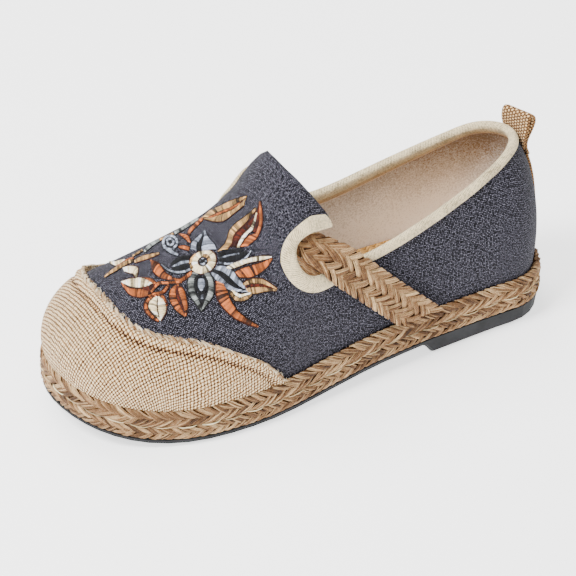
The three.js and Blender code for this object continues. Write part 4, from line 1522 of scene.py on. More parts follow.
@dataclass
class Binding:
    """Cream binding along the collar and round the cut on each side of the tongue."""

    thickness: float = 0.8
    collar_width: float = 2.7
    cut_width: float = 6.1
    facing: float = 6.2
    slant: float = 0.5
    pinch: float = 1.6
    bulge: float = 2.8
    run: float = 27
    inner_face: float = -1.8
    straight_end: float = 12
    step: float = 0.9
    seam_radius: float = 0.32
    seam_end: int = 20

    def build(self) -> None:
        """Builds the band in one length from one cut round the heel to the other."""
        edge = self.edge_points()
        run = np.gradient(edge, axis=0)
        _, normals, _, _ = LAST.nearest(edge)
        run = unit(run - normals * (run * normals).sum(-1, keepdims=True))
        inward = np.cross(run, normals)
        width = self.width_at(edge)
        facing = np.maximum(width, self.facing)
        reach = LAST.gap + self.thickness
        profile = self.profile()
        sections = []
        arc = arc_of(edge)
        near_end = np.minimum(arc, arc[-1] - arc)
        toward = np.where(arc < arc[-1] / 2, 1, -1)
        for share, stand in profile:
            across = facing if stand < self.inner_face else width
            distance = np.where(share < 0, share * across, share * (reach + 0.25))
            slant = self.slant * np.maximum(-share, 0) * width * (1 - smooth_ramp(0, self.straight_end, near_end))
            place = arc + toward * slant
            side = unit(along_line(inward, arc, place))
            base = along_line(edge, arc, place) + side * np.minimum(distance, 0)[:, None]
            surface = LAST.settle(base, 0.0)
            _, n, _, _ = LAST.nearest(surface)
            sections.append(surface + side * np.maximum(distance, 0)[:, None] + n * stand)
        points = np.stack(sections, 1)
        rows, columns = points.shape[:2]
        faces = grid_faces(rows, columns, wrap=True)
        faces += [list(range(columns)), list(range((rows - 1) * columns, rows * columns))[::-1]]
        band = mesh_object("binding_band", points, faces, material=BindingFinish().material())
        # Painted shade: the facing low on the collar's inside takes a darker, browner copy of the binding's finish.
        shaded_facing = BindingFinish("binding facing shade", srgb(222, 192, 146), srgb(112, 78, 44))
        band.data.materials.append(shaded_facing.material())
        # Faces that take the painted shade: low on the band's inner side.
        low = [share < -0.45 and stand < self.inner_face for share, stand in profile]
        for face in band.data.polygons:
            face.material_index = int(all(low[i % columns] for i in face.vertices))
        round_it = np.linalg.norm(np.diff(points, axis=1, append=points[:, :1]), axis=-1)
        around = np.concatenate([np.zeros((rows, 1)), np.cumsum(round_it, 1)[:, :-1]], 1)
        put_uv(band, np.stack([np.repeat(arc[:, None], columns, 1), around], -1).reshape(-1, 2) * MM)
        clean(band)
        smooth(band, 60)
        keep(band, "binding", "collar_binding")
        seam = Lines()
        lower = LAST.settle(edge - inward * (facing + 0.3)[:, None], -Upper.wall - 0.15)
        seam.add(lower[self.seam_end:-self.seam_end], self.seam_radius)
        thread = ThreadFinish("lining seam", srgb(240, 214, 190))
        keep(seam.sweep("lining_seam", thread.material()), "binding")

    def profile(self) -> list[Pair]:
        """The band's section: share of its width, and stand-off from the canvas face."""
        outer = [
            (-1.0, 0.1), (-1.0, 0.45), (-0.93, 0.95), (-0.75, 1.3), (-0.5, 1.45), (-0.2, 1.4), (0.3, 1.15), (0.8, 0.55),
        ]
        inner = [
            (1.0, -0.3), (1.0, -1.3), (0.8, -2.15), (0.3, -2.7), (-0.2, -2.85), (-0.5, -2.85), (-0.75, -2.7),
            (-0.93, -2.35), (-1.0, -1.9), (-1.0, -1.7),
        ]
        slot = [(-0.9, -1.62), (0.0, -1.62), (0.0, 0.02), (-0.9, 0.02)]
        return outer + inner + slot

    def edge_points(self) -> Array:
        """The edge on the form, from the inner cut round the heel to the outer cut."""
        side = np.vstack([OPENING.collar, OPENING.arc, OPENING.throat[:1]])
        straight = side[side[:, 0] > -LAST.length / 2 + LAST.heel_spine]
        outer = LAST.wall(straight[:, 0], straight[:, 1], Side.OUTER, np.zeros(len(straight)))
        inner = LAST.wall(straight[:, 0], straight[:, 1], Side.INNER, np.zeros(len(straight)))
        join = math.acos(1 - 2 * float(LAST.station_of(straight[0, 0])))
        turns = np.linspace(-join, join, 60)[1:-1]

        def below(rise: Array) -> Array:
            """Whether the points at a rise are under the collar's edge."""
            p = LAST.at(turns, rise)
            return p[:, 2] < np.interp(p[:, 0], *OPENING.collar.T)

        back = LAST.at(turns, halve(below, turns))
        return resample(np.vstack([inner[::-1], back, outer]), self.step)

    def width_at(self, edge: Array) -> Array:
        """Width of the band below the canvas edge."""
        notch = OPENING.notch
        near = smooth_ramp(notch[0] - self.run, notch[0], edge[:, 0])
        rise = np.arctan2(edge[:, 2] - notch[1], np.maximum(edge[:, 0] - notch[0], 0) + 1e-6)
        pinch = self.pinch * np.maximum(0, np.sin(2 * rise)) * (edge[:, 0] > notch[0] - 0.1)
        bulge = (self.bulge + self.pinch) * bell(rise, 0.73, 0.5) * (edge[:, 1] < 0) * near
        return self.collar_width + (self.cut_width - self.collar_width) * near - pinch + bulge


@dataclass
class Straps:
    """Slanting straps of doubled, plaited jute, one on each side."""

    width: float = 18
    thickness: float = 4
    lean: float = 43.5
    lift: float = 1
    ply_radius: float = 0.4
    columns: int = 4
    lump: float = 2.9
    lump_reach: float = 0.62
    ply_step: float = 1.6
    turn: float = 37
    start: float = -14
    reach: float = 96
    layer_step: float = 0.9
    layer_stand: float = -1.1
    rows: tuple[tuple[float, float, float, float], ...] = (
        (-0.889, 0.75, 0, 0), (-0.611, 0.75, 0, 0), (-0.389, 0.75, 0, 0), (-0.222, 0.74, 0.2, 0),
        (-0.056, 0.74, 0.6, 0), (0.111, 0.78, 0.92, 0.1), (0.278, 0.86, 1.03, 0.36), (0.444, 0.94, 1.05, 0.72),
        (0.611, 0.98, 1.04, 0.95), (0.833, 1, 1, 1.03), (1.222, 1, 1, 1), (1.889, 1, 1, 1), (2.556, 1, 1, 1),
        (3.222, 1, 1, 1), (4.444, 1, 1, 1),
    )

    def build(self) -> None:
        """Builds both straps."""
        strand = StrandFinish("plait jute", srgb(34, 16, 4), srgb(146, 98, 54), srgb(255, 218, 162)).material()
        # Painted shade: the core is far darker than the strands, for the shade in the gaps between them.
        core = CoreFinish("plait core", srgb(26, 13, 4), srgb(88, 56, 28)).material()
        for side in Side:
            name = side.name.lower()
            keep(self.core(side, name, core), "plait", f"strap_{name}")
            keep(self.plait(side, name, strand), "plait")

    def axes(self) -> tuple[Array, Array]:
        """Directions in side view down the strap and across it, towards its upper edge."""
        lean = math.radians(self.lean)
        way = np.array([-math.cos(lean), -math.sin(lean)])
        return way, np.array([way[1], -way[0]])

    def place(self, along: Array, share: Array, height: Array, side: Side) -> Array:
        """Points of a strap.

        Args:
            along: Distance down the strap from the cut's centre.
            share: Place across it, 0 at its lower edge and 1 at its upper edge.
            height: Distance over its back face.
            side: The foot's side.

        Returns:
            The points.
        """
        table = np.array(self.rows)
        edge, low, high = (np.interp(along / self.width, table[:, 0], table[:, k]) for k in (1, 2, 3))
        inside = -(Upper.wall + 4 * LAST.gap + Binding.thickness + self.thickness)
        outside = 3 * LAST.gap + Binding.thickness
        way, across = self.axes()
        half = self.width / 2
        reach = self.lift - edge * half + share * half * (1 + edge)
        flat = OPENING.notch + way * along[:, None] + across * reach[:, None]
        stand = inside + (outside - inside) * (low + (high - low) * share)
        return LAST.wall(flat[:, 0], flat[:, 1], side, stand + height)

    def end_of(self, share: float, side: Side) -> float:
        """How far down a line of the strap meets the wrap's upper edge."""
        last = 79.0
        along = np.linspace(20, last, 240)
        p = self.place(along, np.full_like(along, share), np.full_like(along, self.thickness / 2), side)
        hit = np.nonzero(p[:, 2] < LAST.wrap_top(p[:, 0]) + LAST.gap + 0.2)[0]
        return float(along[hit[0]]) if len(hit) else last

    def core(self, side: Side, name: str, material: Material) -> Thing:
        """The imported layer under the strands."""
        shares = np.linspace(0.06, 0.94, 9)
        rows, columns = 60, len(shares)
        layers = []
        for height in (0.5, self.thickness - 1.5):
            grid = []
            for share in shares:
                along = np.linspace(-12, self.end_of(share, side) - 0.2, rows)
                grid.append(self.place(along, np.full(rows, share), np.full(rows, height), side))
            layers.append(np.stack(grid, 1))
        points = np.concatenate([layers[0].reshape(-1, 3), layers[1].reshape(-1, 3)])
        count = rows * columns
        faces = grid_faces(rows, columns) + [f[::-1] for f in grid_faces(rows, columns, start=count)]
        rim = [r * columns for r in range(rows)] + [(rows - 1) * columns + c for c in range(1, columns)]
        rim += [r * columns + columns - 1 for r in range(rows - 2, -1, -1)] + list(range(columns - 2, 0, -1))
        faces += [[a, b, count + b, count + a] for a, b in zip(rim, rim[1:] + rim[:1])]
        core = mesh_object(f"strap_core_{name}", points, faces, material=material)
        clean(core)
        smooth(core)
        return core

    def plait(self, side: Side, name: str, material: Material) -> Thing:
        """Columns of slanting lumps, each of a few plies, that dive under their neighbours.

        Args:
            side: The foot's side.
            name: The side's name.
            material: The strands' finish.

        Returns:
            The strap's strands.
        """
        lines = Lines()
        rng = np.random.default_rng(11)
        lane = self.width / self.columns
        turn = math.radians(self.turn)
        pitch = self.lump / math.sin(turn)
        half = self.lump_reach * lane / math.sin(turn)
        top = self.thickness - self.ply_radius
        for column in range(self.columns):
            way = 1 if column % 2 else -1
            for n in range(round(self.reach / pitch)):
                centre = pitch * (n + 0.5 * (column % 2)) + self.start + rng.normal(0, 0.25)
                bend = turn + rng.normal(0, 0.07)
                tint = rng.uniform(0.3, 0.7)
                for ply in (-1.5, -0.5, 0.5, 1.5):
                    apart = ply * self.ply_radius * self.ply_step
                    along, lateral = ply_line((centre, (column + 0.5) * lane), half, bend, way, apart)
                    share = np.clip(lateral / self.width, 0.035, 0.965)
                    height = top - 1.0 * PLY_STEPS**2 - 0.15 * ply**2 + 0.12 * rng.standard_normal()
                    points = self.place(along, share, height, side)
                    clear = points[:, 2] > LAST.wrap_top(points[:, 0]) + LAST.gap + 0.3
                    if clear.sum() < 3:
                        continue
                    radius = self.ply_radius * rng.uniform(0.85, 1.12) * PLY_TAPER
                    lines.add(points[clear], radius[clear], tint + rng.uniform(-0.25, 0.25))
        self.under_layer(lines, side, rng)
        return lines.sweep(f"strap_plait_{name}", material)

    def under_layer(self, lines: Lines, side: Side, rng: Random) -> None:
        """Adds the strap's under layer, which fills the cut below the strap.

        Args:
            lines: The strap's strands.
            side: The foot's side.
            rng: Source of the unevenness.
        """
        way, across = self.axes()
        radius, steps = OPENING.notch_radius, 24
        for apart in np.arange(-radius + 0.5, -0.3 * self.width, self.layer_step):
            half = math.sqrt(radius**2 - apart**2)
            along = np.linspace(-half, half, steps)
            waver = apart + 0.15 * np.sin(along + apart)
            flat = OPENING.notch + way * along[:, None] + across * waver[:, None]
            stand = self.layer_stand + 0.1 * np.convolve(rng.standard_normal(steps), np.ones(3) / 3, "same")
            points = LAST.wall(flat[:, 0], flat[:, 1], side, stand)
            lines.add(points, self.ply_radius * 1.05, rng.uniform(0.1, 0.7))


class Silk(Enum):
    """The embroidery's thread colours."""

    SILVER = srgb(126, 132, 146)
    GREY = srgb(112, 116, 114)
    DARK = srgb(8, 9, 13)
    CREAM = srgb(250, 228, 178)
    BEIGE = srgb(152, 118, 74)
    RUST = srgb(142, 76, 36)
    BROWN = srgb(62, 18, 4)

    def border_and_shadow(self) -> "Silk":
        """The thread that outlines a column of this colour, partly its real dark border and partly painted shadow at
        its edges.
        """
        return Silk.DARK if self in (Silk.SILVER, Silk.GREY, Silk.DARK) else Silk.BROWN


@dataclass(frozen=True)
class Satin:
    """A satin-stitched column on the flat cloth, in millimetres along and across.

    Each guide stitch gives x and y of a point on its first edge, then of the point across from it on the second.
    """

    silk: Silk
    guides: tuple[Row, ...]
    lift: float = 0.0

    def edges(self, steps: int) -> tuple[Array, Array]:
        """Its two edges as smooth lines of so many steps."""
        guides = np.array(self.guides)
        return spline(guides[:, :2], steps), spline(guides[:, 2:], steps)


def satin(silk: Silk, *guides: tuple[int, int, int, int]) -> Satin:
    """A column from its guide stitches, in tenths of a millimetre."""
    return Satin(silk, tuple(tuple(value / 10 for value in guide) for guide in guides))


def ring(
    silk: Silk, centre: Pair, radii: Pair, turn: Pair, lift: float = 0
) -> Satin:
    """A column bent round a centre.

    Args:
        silk: Its thread.
        centre: Its centre on the cloth.
        radii: Its outer and inner radius.
        turn: Where it starts and stops, in degrees.
        lift: How far it stands over what lies under it.

    Returns:
        The column.
    """
    (x, y), (outer, inner) = centre, radii
    guides = tuple(
        (x + outer * math.cos(a), y + outer * math.sin(a), x + inner * math.cos(a), y + inner * math.sin(a))
        for a in np.radians(np.linspace(*turn, 17))
    )
    return Satin(silk, guides, lift)


SILVER, GREY, DARK, CREAM, BEIGE, RUST, BROWN = Silk
HEART = (66.3, 10.8)
COLUMNS = (
    # flower's heart
    ring(CREAM, HEART, (6.2, 2.5), (0, 360)),
    ring(BEIGE, HEART, (6.3, 4.4), (-85, 5), 0.12),
    ring(BEIGE, HEART, (4.6, 2.4), (140, 235), 0.12),
    satin(DARK, (644, 93, 645, 124), (663, 85, 663, 131), (681, 95, 680, 123)),
    ring(SILVER, HEART, (1.9, 1.0), (20, 150), 0.2),
    ring(SILVER, HEART, (1.7, 0.9), (220, 320), 0.2),
    # top petal
    satin(SILVER, (669, 1, 654, 35), (644, -31, 635, 0), (608, -41, 604, -18), (562, -51, 564, -48)),
    satin(DARK, (652, 37, 641, 49), (632, 0, 622, 14), (596, -25, 597, -9), (582, -29, 582, -26)),
    satin(SILVER, (639, 53, 581, 91), (618, 19, 574, 56), (592, -9, 575, 5), (564, -48, 562, -49)),
    # upper right petal
    satin(DARK, (589, 122, 595, 138), (552, 131, 554, 155), (512, 158, 514, 174), (484, 181, 489, 183)),
    satin(SILVER, (595, 138, 597, 145), (549, 157, 550, 165), (503, 181, 504, 188)),
    satin(DARK, (596, 147, 602, 157), (553, 166, 565, 190), (507, 188, 521, 211), (469, 201, 476, 213)),
    satin(
        SILVER, (602, 158, 604, 165), (566, 191, 569, 199), (521, 213, 521, 221), (479, 219, 476, 225),
        (447, 211, 447, 214),
    ),
    # lower right petal
    satin(
        SILVER, (622, 169, 637, 178), (587, 195, 611, 207), (565, 241, 588, 259), (555, 286, 572, 301),
        (531, 353, 534, 353),
    ),
    satin(DARK, (647, 171, 650, 182), (619, 209, 628, 215), (599, 259, 610, 264), (578, 304, 588, 306)),
    satin(
        SILVER, (653, 181, 660, 191), (632, 217, 653, 228), (614, 265, 637, 272), (589, 305, 606, 310),
        (534, 354, 567, 336),
    ),
    # bottom petal
    satin(
        GREY, (731, 128, 712, 151), (768, 155, 743, 172), (792, 212, 766, 221), (787, 264, 767, 265),
        (777, 314, 775, 312),
    ),
    satin(
        GREY, (665, 177, 690, 167), (672, 230, 692, 210), (697, 276, 715, 255), (731, 295, 744, 278),
        (776, 314, 775, 313),
    ),
    satin(DARK, (711, 156, 707, 166), (741, 170, 733, 179), (756, 198, 744, 202), (746, 236, 738, 234)),
    satin(DARK, (689, 171, 700, 174), (688, 206, 699, 202), (703, 235, 712, 226), (736, 242, 739, 234)),
    satin(SILVER, (723, 174, 700, 190), (742, 200, 711, 219), (743, 229, 734, 235)),
    satin(DARK, (741, 239, 742, 248), (766, 242, 755, 250), (765, 266, 754, 269), (759, 285, 753, 279)),
    satin(DARK, (738, 241, 741, 248), (724, 265, 735, 262), (736, 280, 744, 272), (756, 286, 755, 278)),
    satin(SILVER, (748, 247, 736, 254), (759, 266, 746, 273)),
    # left petal
    satin(DARK, (697, 39, 707, 55), (725, 13, 736, 33), (756, 8, 761, 29), (785, 27, 784, 34)),
    satin(SILVER, (710, 57, 718, 71), (738, 36, 745, 56), (762, 34, 768, 49), (783, 35, 784, 40)),
    satin(DARK, (718, 75, 725, 102), (747, 59, 758, 93), (768, 55, 781, 66), (785, 42, 788, 40)),
    satin(
        SILVER, (818, -15, 813, -10), (814, 40, 806, 37), (790, 84, 785, 75), (761, 104, 759, 93), (731, 111, 729, 101),
    ),
    # big leaf
    satin(
        BEIGE, (581, 107, 539, 128), (527, 94, 507, 118), (488, 61, 481, 92), (447, 51, 445, 86), (390, 62, 399, 88),
        (326, 76, 330, 84),
    ),
    satin(
        BROWN, (516, 138, 505, 152), (493, 110, 475, 131), (460, 97, 450, 120), (415, 101, 412, 121),
        (363, 104, 364, 111),
    ),
    satin(
        CREAM, (498, 153, 488, 162), (473, 137, 457, 148), (441, 128, 422, 142), (395, 126, 388, 141),
        (337, 94, 337, 106),
    ),
    satin(RUST, (485, 163, 451, 184), (452, 153, 425, 187), (421, 154, 399, 188), (393, 169, 387, 183)),
    satin(RUST, (296, 68, 293, 71), (328, 108, 316, 121), (353, 145, 345, 160), (388, 167, 387, 185)),
    satin(BROWN, (303, 77, 301, 79), (340, 103, 330, 114), (365, 132, 353, 144), (398, 150, 389, 164)),
    # top leaf
    satin(
        BEIGE, (514, -164, 500, -124), (462, -175, 471, -108), (421, -125, 439, -83), (385, -92, 407, -52),
        (321, -16, 327, -13),
    ),
    satin(
        RUST, (503, -119, 509, -100), (470, -96, 476, -79), (438, -73, 443, -58), (406, -47, 410, -34),
        (363, -24, 366, -15),
    ),
    satin(
        BEIGE, (508, -93, 517, -139), (476, -75, 507, -74), (443, -52, 476, -19), (404, -25, 411, -3),
        (330, -11, 360, 8),
    ),
    # top stem
    satin(RUST, (515, -167, 519, -139), (549, -157, 554, -124), (595, -137, 599, -110), (623, -111, 621, -93)),
    satin(RUST, (646, -160, 640, -138), (649, -100, 631, -92), (652, -53, 648, -39)),
    satin(RUST, (698, -61, 702, -50), (680, -43, 691, -23), (667, -14, 679, 4)),
    # rose tail
    satin(SILVER, (751, -117, 737, -115), (747, -46, 732, -58), (733, -9, 728, -16)),
    # cream flower
    satin(CREAM, (945, -294, 968, -231), (943, -242, 969, -179), (919, -231, 948, -169), (904, -209, 917, -191)),
    satin(CREAM, (956, -127, 967, -88), (926, -122, 956, -61), (906, -78, 944, -45), (939, -18, 953, -6)),
    # far leaf
    satin(BEIGE, (782, -103, 787, -92), (811, -128, 826, -100), (845, -153, 865, -114), (887, -147, 894, -126)),
    satin(BEIGE, (884, -174, 894, -145), (916, -182, 936, -141), (980, -155, 999, -117), (1054, -115, 1054, -108)),
    satin(RUST, (873, -186, 880, -167), (901, -200, 910, -178), (968, -167, 975, -148)),
    # upper left leaf
    satin(RUST, (835, -83, 838, -72), (823, -27, 865, 0), (829, 46, 858, 62), (818, 88, 827, 103)),
    # upper left stem
    satin(RUST, (827, 76, 832, 93), (797, 121, 803, 135), (750, 120, 755, 139), (731, 118, 733, 132)),
    # left stem
    satin(RUST, (792, 135, 798, 147), (852, 99, 853, 114), (886, 77, 888, 95), (939, 104, 936, 120)),
    # left leaf
    satin(CREAM, (1018, -19, 1017, 1), (967, -16, 996, 42), (923, 10, 959, 68), (905, 70, 928, 71)),
    satin(RUST, (1019, -12, 1027, 21), (1011, 44, 1027, 83), (968, 75, 997, 119), (941, 105, 959, 129)),
    satin(BROWN, (956, 69, 961, 92), (928, 72, 944, 117), (899, 79, 909, 94)),
    satin(RUST, (919, 10, 919, 29), (898, 37, 911, 59), (892, 76, 903, 82)),
    # bud
    satin(CREAM, (929, 148, 927, 156), (967, 161, 944, 184), (987, 198, 960, 221), (970, 269, 968, 269)),
    satin(CREAM, (924, 157, 919, 153), (940, 185, 907, 193), (956, 223, 927, 239), (968, 269, 967, 271)),
    satin(
        RUST, (925, 140, 929, 148), (974, 146, 971, 159), (1006, 186, 994, 191), (1003, 232, 992, 226),
        (979, 270, 973, 267),
    ),
    satin(RUST, (915, 142, 922, 149), (899, 166, 911, 175), (906, 214, 915, 214)),
    # bud stem
    satin(RUST, (957, 127, 959, 139), (926, 126, 928, 138), (890, 134, 890, 147), (855, 117, 851, 128)),
    # small leaf
    satin(
        RUST, (821, 139, 820, 142), (859, 153, 841, 173), (884, 196, 853, 211), (880, 256, 856, 252),
        (858, 298, 855, 298),
    ),
    satin(BROWN, (824, 148, 822, 149), (843, 180, 835, 185), (853, 218, 843, 221), (855, 263, 846, 261)),
    satin(
        RUST, (818, 144, 815, 143), (832, 182, 807, 187), (840, 222, 818, 235), (846, 263, 829, 267),
        (854, 298, 852, 301),
    ),
    # right leaf
    satin(
        CREAM, (590, 200, 578, 219), (546, 205, 538, 231), (484, 229, 486, 247), (423, 262, 430, 276),
        (365, 305, 367, 309),
    ),
    satin(
        RUST, (564, 246, 558, 270), (529, 249, 514, 301), (468, 272, 466, 318), (408, 297, 412, 325),
        (364, 312, 362, 316),
    ),
    # beige leaf
    satin(
        BEIGE, (551, 309, 546, 321), (505, 316, 507, 335), (456, 346, 464, 363), (424, 384, 429, 397),
        (386, 440, 389, 440),
    ),
    satin(BROWN, (543, 325, 543, 332), (501, 341, 505, 350), (458, 369, 462, 378), (413, 412, 415, 417)),
    satin(BEIGE, (542, 334, 538, 356), (506, 351, 510, 379), (456, 383, 450, 407), (390, 441, 390, 443)),
    # crescent
    satin(
        BEIGE, (623, 306, 612, 306), (614, 345, 603, 336), (588, 368, 583, 356), (549, 380, 550, 366),
        (520, 373, 522, 371),
    ),
    satin(
        CREAM, (611, 306, 600, 305), (601, 336, 591, 326), (582, 355, 577, 343), (551, 364, 552, 353),
        (523, 370, 527, 363),
    ),
    # long stem
    satin(
        RUST, (657, 229, 626, 272), (681, 285, 630, 301), (677, 344, 633, 337), (644, 411, 616, 400),
        (595, 465, 582, 454), (538, 515, 535, 513),
    ),
    # ridge leaf
    satin(GREY, (813, -196, 817, -173), (749, -253, 761, -200), (709, -237, 722, -205)),
    satin(GREY, (639, -218, 655, -176), (590, -227, 610, -173), (528, -224, 550, -171), (516, -204, 527, -173)),
    satin(BEIGE, (863, -214, 869, -195), (809, -226, 817, -200)),
    satin(BEIGE, (707, -239, 718, -210), (648, -214, 658, -188)),
    # rose
    satin(
        SILVER, (721, -56, 718, -73), (741, -72, 732, -85), (747, -108, 736, -113), (735, -158, 727, -149),
        (706, -206, 708, -181), (678, -227, 689, -191), (666, -197, 679, -173), (668, -146, 679, -140),
        (680, -101, 688, -108), (698, -73, 701, -88), (720, -65, 716, -83),
    ),
    satin(
        DARK, (689, -96, 693, -103), (709, -76, 708, -88), (727, -80, 722, -91), (735, -107, 728, -112),
        (728, -146, 722, -141), (707, -181, 707, -166), (686, -189, 692, -171), (678, -162, 686, -152),
        (682, -123, 689, -124),
    ),
    satin(
        SILVER, (710, -172, 708, -154), (690, -181, 698, -158), (683, -153, 694, -143), (691, -117, 698, -124),
        (706, -96, 706, -112), (721, -99, 714, -114), (725, -122, 715, -127), (716, -152, 711, -141),
    ),
    satin(
        DARK, (700, -119, 705, -128), (711, -110, 708, -126), (717, -122, 708, -129), (712, -143, 707, -133),
        (701, -151, 706, -133), (697, -139, 706, -132),
    ),
)


@dataclass
class Embroidery:
    """Flowers and leaves in satin stitch over the vamp's outer side and its ridge."""

    pitch: float = 0.42
    radius: float = 0.23
    swell: float = 0.13
    edge_radius: float = 0.3
    edge_gap: float = 0.3
    edge_stand: float = 0.22
    edge_steps: int = 40
    steps: int = 60

    def build(self) -> None:
        """Stitches every column, one piece for each thread colour."""
        rng = np.random.default_rng(21)
        for silk in Silk:
            lines = Lines()
            for column in COLUMNS:
                if column.silk is silk:
                    self.stitch(lines, column, rng)
                if column.silk.border_and_shadow() is silk:
                    self.outline(lines, column, rng)
            name = f"embroidery_{silk.name.lower()}"
            keep(lines.sweep(name, ThreadFinish(name, silk.value, 0.55).material(), sides=5), "embroidery")

    def outline(self, lines: Lines, column: Satin, rng: Random) -> None:
        """Adds the thin dark threads that lie along a column's two edges: partly a real dark border, partly painted
        shadow.

        Args:
            lines: The lines of the edging's colour.
            column: The column.
            rng: Source of the small unevenness.
        """
        first, second = column.edges(self.edge_steps)
        out = unit(first - second) * self.edge_gap
        # Painted shadow in part: dark threads along both edges of the column, with dark tints.
        for rail in (first + out, second - out):
            lines.add(LAST.lay(rail, self.edge_stand), self.edge_radius, rng.uniform(0.0, 0.35))

    def stitch(self, lines: Lines, column: Satin, rng: Random) -> None:
        """Adds a column's stitches, side by side and arched over the cloth.

        Args:
            lines: The lines of its thread colour.
            column: The column.
            rng: Source of the small unevenness.
        """
        rails = column.edges(self.steps)
        length = max(np.linalg.norm(np.diff(rail, axis=0), axis=1).sum() for rail in rails)
        count = max(4, round(length / self.pitch))
        share = np.array([0.0, 0.2, 0.5, 0.8, 1.0])
        arch = np.sin(np.pi * share) ** 0.7
        taper = np.array([0.75, 1, 1.05, 1, 0.75])
        own = np.arange(self.steps + 1)
        shades = rng.normal(0.52, 0.32, count // 3 + 1)
        for i in range(count):
            at = self.steps * (i + 0.5 + rng.uniform(-0.25, 0.25, 2)) / count
            p, q = (along_line(rail, own, a) for a, rail in zip(at, rails))
            width = float(np.linalg.norm(q - p))
            if width < 0.25:
                continue
            over = rng.uniform(-0.05, 0.18, 2) / width
            flat = p + (q - p) * (share * (1 + over.sum()) - over[0])[:, None]
            stand = 0.1 + column.lift + arch * min(0.6, 0.22 + self.swell * width)
            tint = np.clip(shades[i // 3] + rng.normal(0, 0.12), 0, 1)
            lines.add(LAST.lay(flat, stand), self.radius * taper, tint)


@dataclass
class HeelTapes:
    """Backstay and pull loop at the back of the heel."""

    width: float = 15.4
    thickness: float = 1.3
    twist: float = 22
    steps: int = 66
    thin_edge: float = 0.55
    hug: float = 0.9
    path: tuple[tuple[float, float, float], ...] = (
        (-117.9, 73.6, 0), (-116.7, 77, 0), (-115.9, 81, 0.25), (-116.2, 85, 0.7), (-117.0, 89, 1), (-116.9, 92, 1),
        (-115.6, 93.2, 1), (-114.3, 92, 1), (-113.9, 88.5, 1), (-114.0, 85, 0.7), (-114.5, 81, 0.25), (-115.3, 77, 0),
    )

    def build(self) -> None:
        """Builds the pull loop and dresses the backstay."""
        dress(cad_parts["backstay"], TapeFinish("backstay tape", False).material())
        keep(self.loop(), "tape", "pull_loop")

    def loop(self) -> Thing:
        """A woven tape folded over at the top: centre line as x, z and share of the twist."""
        rows = np.column_stack([
            spline([(x, z) for x, z, _ in self.path], self.steps),
            spline([(share, 0) for _, _, share in self.path], self.steps)[:, :1],
        ])
        run = unit(np.gradient(rows[:, :2], axis=0))
        out = np.stack([-run[:, 1], run[:, 0]], -1)
        across = np.linspace(-1, 1, 13)
        faces_out, uv = [], []
        arc = arc_of(rows[:, :2])
        turn = np.radians(self.twist) * rows[:, 2]
        for way in (1, -1):
            for s in across[::way]:
                y = s * self.width / 2
                edge = 1 if abs(s) < 0.99 else self.thin_edge
                flat = rows[:, :2] + way * edge * out * self.thickness / 2
                x = flat[:, 0] + self.hug * s**2 * (1 - rows[:, 2]) - y * np.sin(turn)
                faces_out.append(np.stack([x, y * np.cos(turn), flat[:, 1]], -1))
                uv.append(np.stack([arc, np.full_like(arc, y)], -1))
        points = np.stack(faces_out, 1)
        count, columns = points.shape[:2]
        faces = grid_faces(count, columns, wrap=True)
        faces += [list(range(columns)), list(range((count - 1) * columns, count * columns))[::-1]]
        finish = TapeFinish("loop tape", True)
        loop = mesh_object("pull_tape", points, faces, material=finish.material())
        put_uv(loop, np.stack(uv, 1).reshape(-1, 2) * MM)
        clean(loop)
        smooth(loop, 60)
        return loop


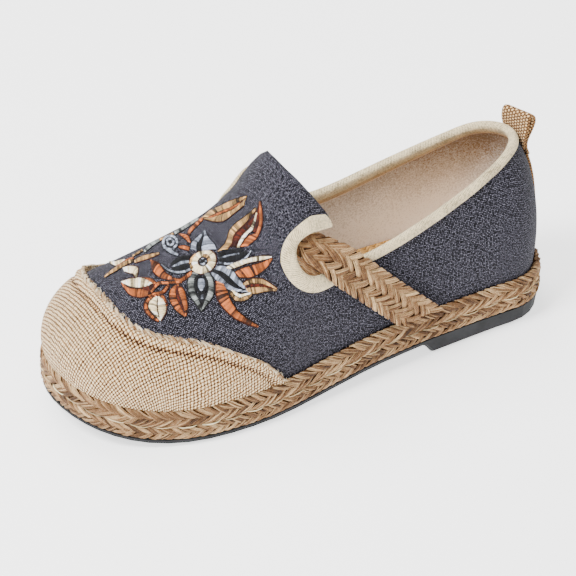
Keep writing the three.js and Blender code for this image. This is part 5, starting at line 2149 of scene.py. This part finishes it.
@dataclass
class Studio:
    """Floor, lights and camera."""

    azimuth: float = 28.38
    elevation: float = 33.01
    distance: float = 2.2
    lens: float = 303.9
    target: tuple[float, float, float] = (-1.0, 0.0, 35.0)
    shift_right: float = 4.35
    shift_up: float = 2.38
    floor_glow: float = 1.6
    sky: float = 0.6

    def build(self) -> None:
        """Sets up the picture."""
        self.floor()
        self.lights()
        self.camera()

    def axes(self) -> tuple[Vector, Vector, Vector]:
        """Directions to the camera, to its right and up."""
        a, e = math.radians(self.azimuth), math.radians(self.elevation)
        back = Vector((math.sin(a) * math.cos(e), math.cos(a) * math.cos(e), math.sin(e)))
        right = Vector((-math.cos(a), math.sin(a), 0))
        return back, right, back.cross(right)

    def camera(self) -> None:
        """The photograph's viewpoint."""
        back, right, up = self.axes()
        aim = (Vector(self.target) - right * self.shift_right - up * self.shift_up) * MM
        data = bpy.data.cameras.new("camera")
        data.lens = self.lens
        data.sensor_width = 36
        data.clip_end = 20
        camera = bpy.data.objects.new("camera", data)
        place = Matrix((right, up, back)).transposed().to_4x4()
        place.translation = aim + back * self.distance
        camera.matrix_world = place
        bpy.context.scene.collection.objects.link(camera)
        bpy.context.scene.camera = camera

    def floor(self) -> None:
        """A plain pale floor."""
        size = 4000
        corners = np.array([[-size, -size, 0], [size, -size, 0], [size, size, 0], [-size, size, 0]], float)
        graph = Graph("floor")
        graph.shader.inputs["Emission Color"].default_value = (1, 1, 1, 1)
        graph.shader.inputs["Emission Strength"].default_value = self.floor_glow
        material = graph.finish(srgb(248, 248, 248), roughness=1.0)
        mesh_object("floor", corners, [[0, 1, 2, 3]], material=material)

    def lights(self) -> None:
        """Soft light from all round with a key over the heel's side."""
        world = bpy.data.worlds.new("studio")
        world.use_nodes = True
        world.node_tree.nodes["Background"].inputs["Color"].default_value = (1, 1, 1, 1)
        world.node_tree.nodes["Background"].inputs["Strength"].default_value = self.sky
        bpy.context.scene.world = world
        for name, place, size, power in (
            ("key", (1.1, 0.2, 1.5), 0.7, 62),
            ("fill", (0.2, 1.6, 0.9), 1.4, 5),
            ("top", (0.0, -0.9, 1.5), 1.0, 24),
        ):
            data = bpy.data.lights.new(name, "AREA")
            data.size = size
            data.energy = power
            lamp = bpy.data.objects.new(name, data)
            lamp.location = place
            lamp.rotation_euler = (Vector(place) - Vector((0, 0, 0.03))).to_track_quat("Z", "Y").to_euler()
            bpy.context.scene.collection.objects.link(lamp)


def main() -> None:
    """Builds the shoe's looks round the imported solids."""
    logging.basicConfig(level=logging.INFO, format="%(name)s: %(message)s")
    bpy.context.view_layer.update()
    Studio().build()
    Sole().build()
    Upper().build()
    ToeCap().build()
    Binding().build()
    Straps().build()
    Embroidery().build()
    HeelTapes().build()
    dress(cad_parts["insole"], StrawFinish().material())


if __name__ == "__main__":
    main()
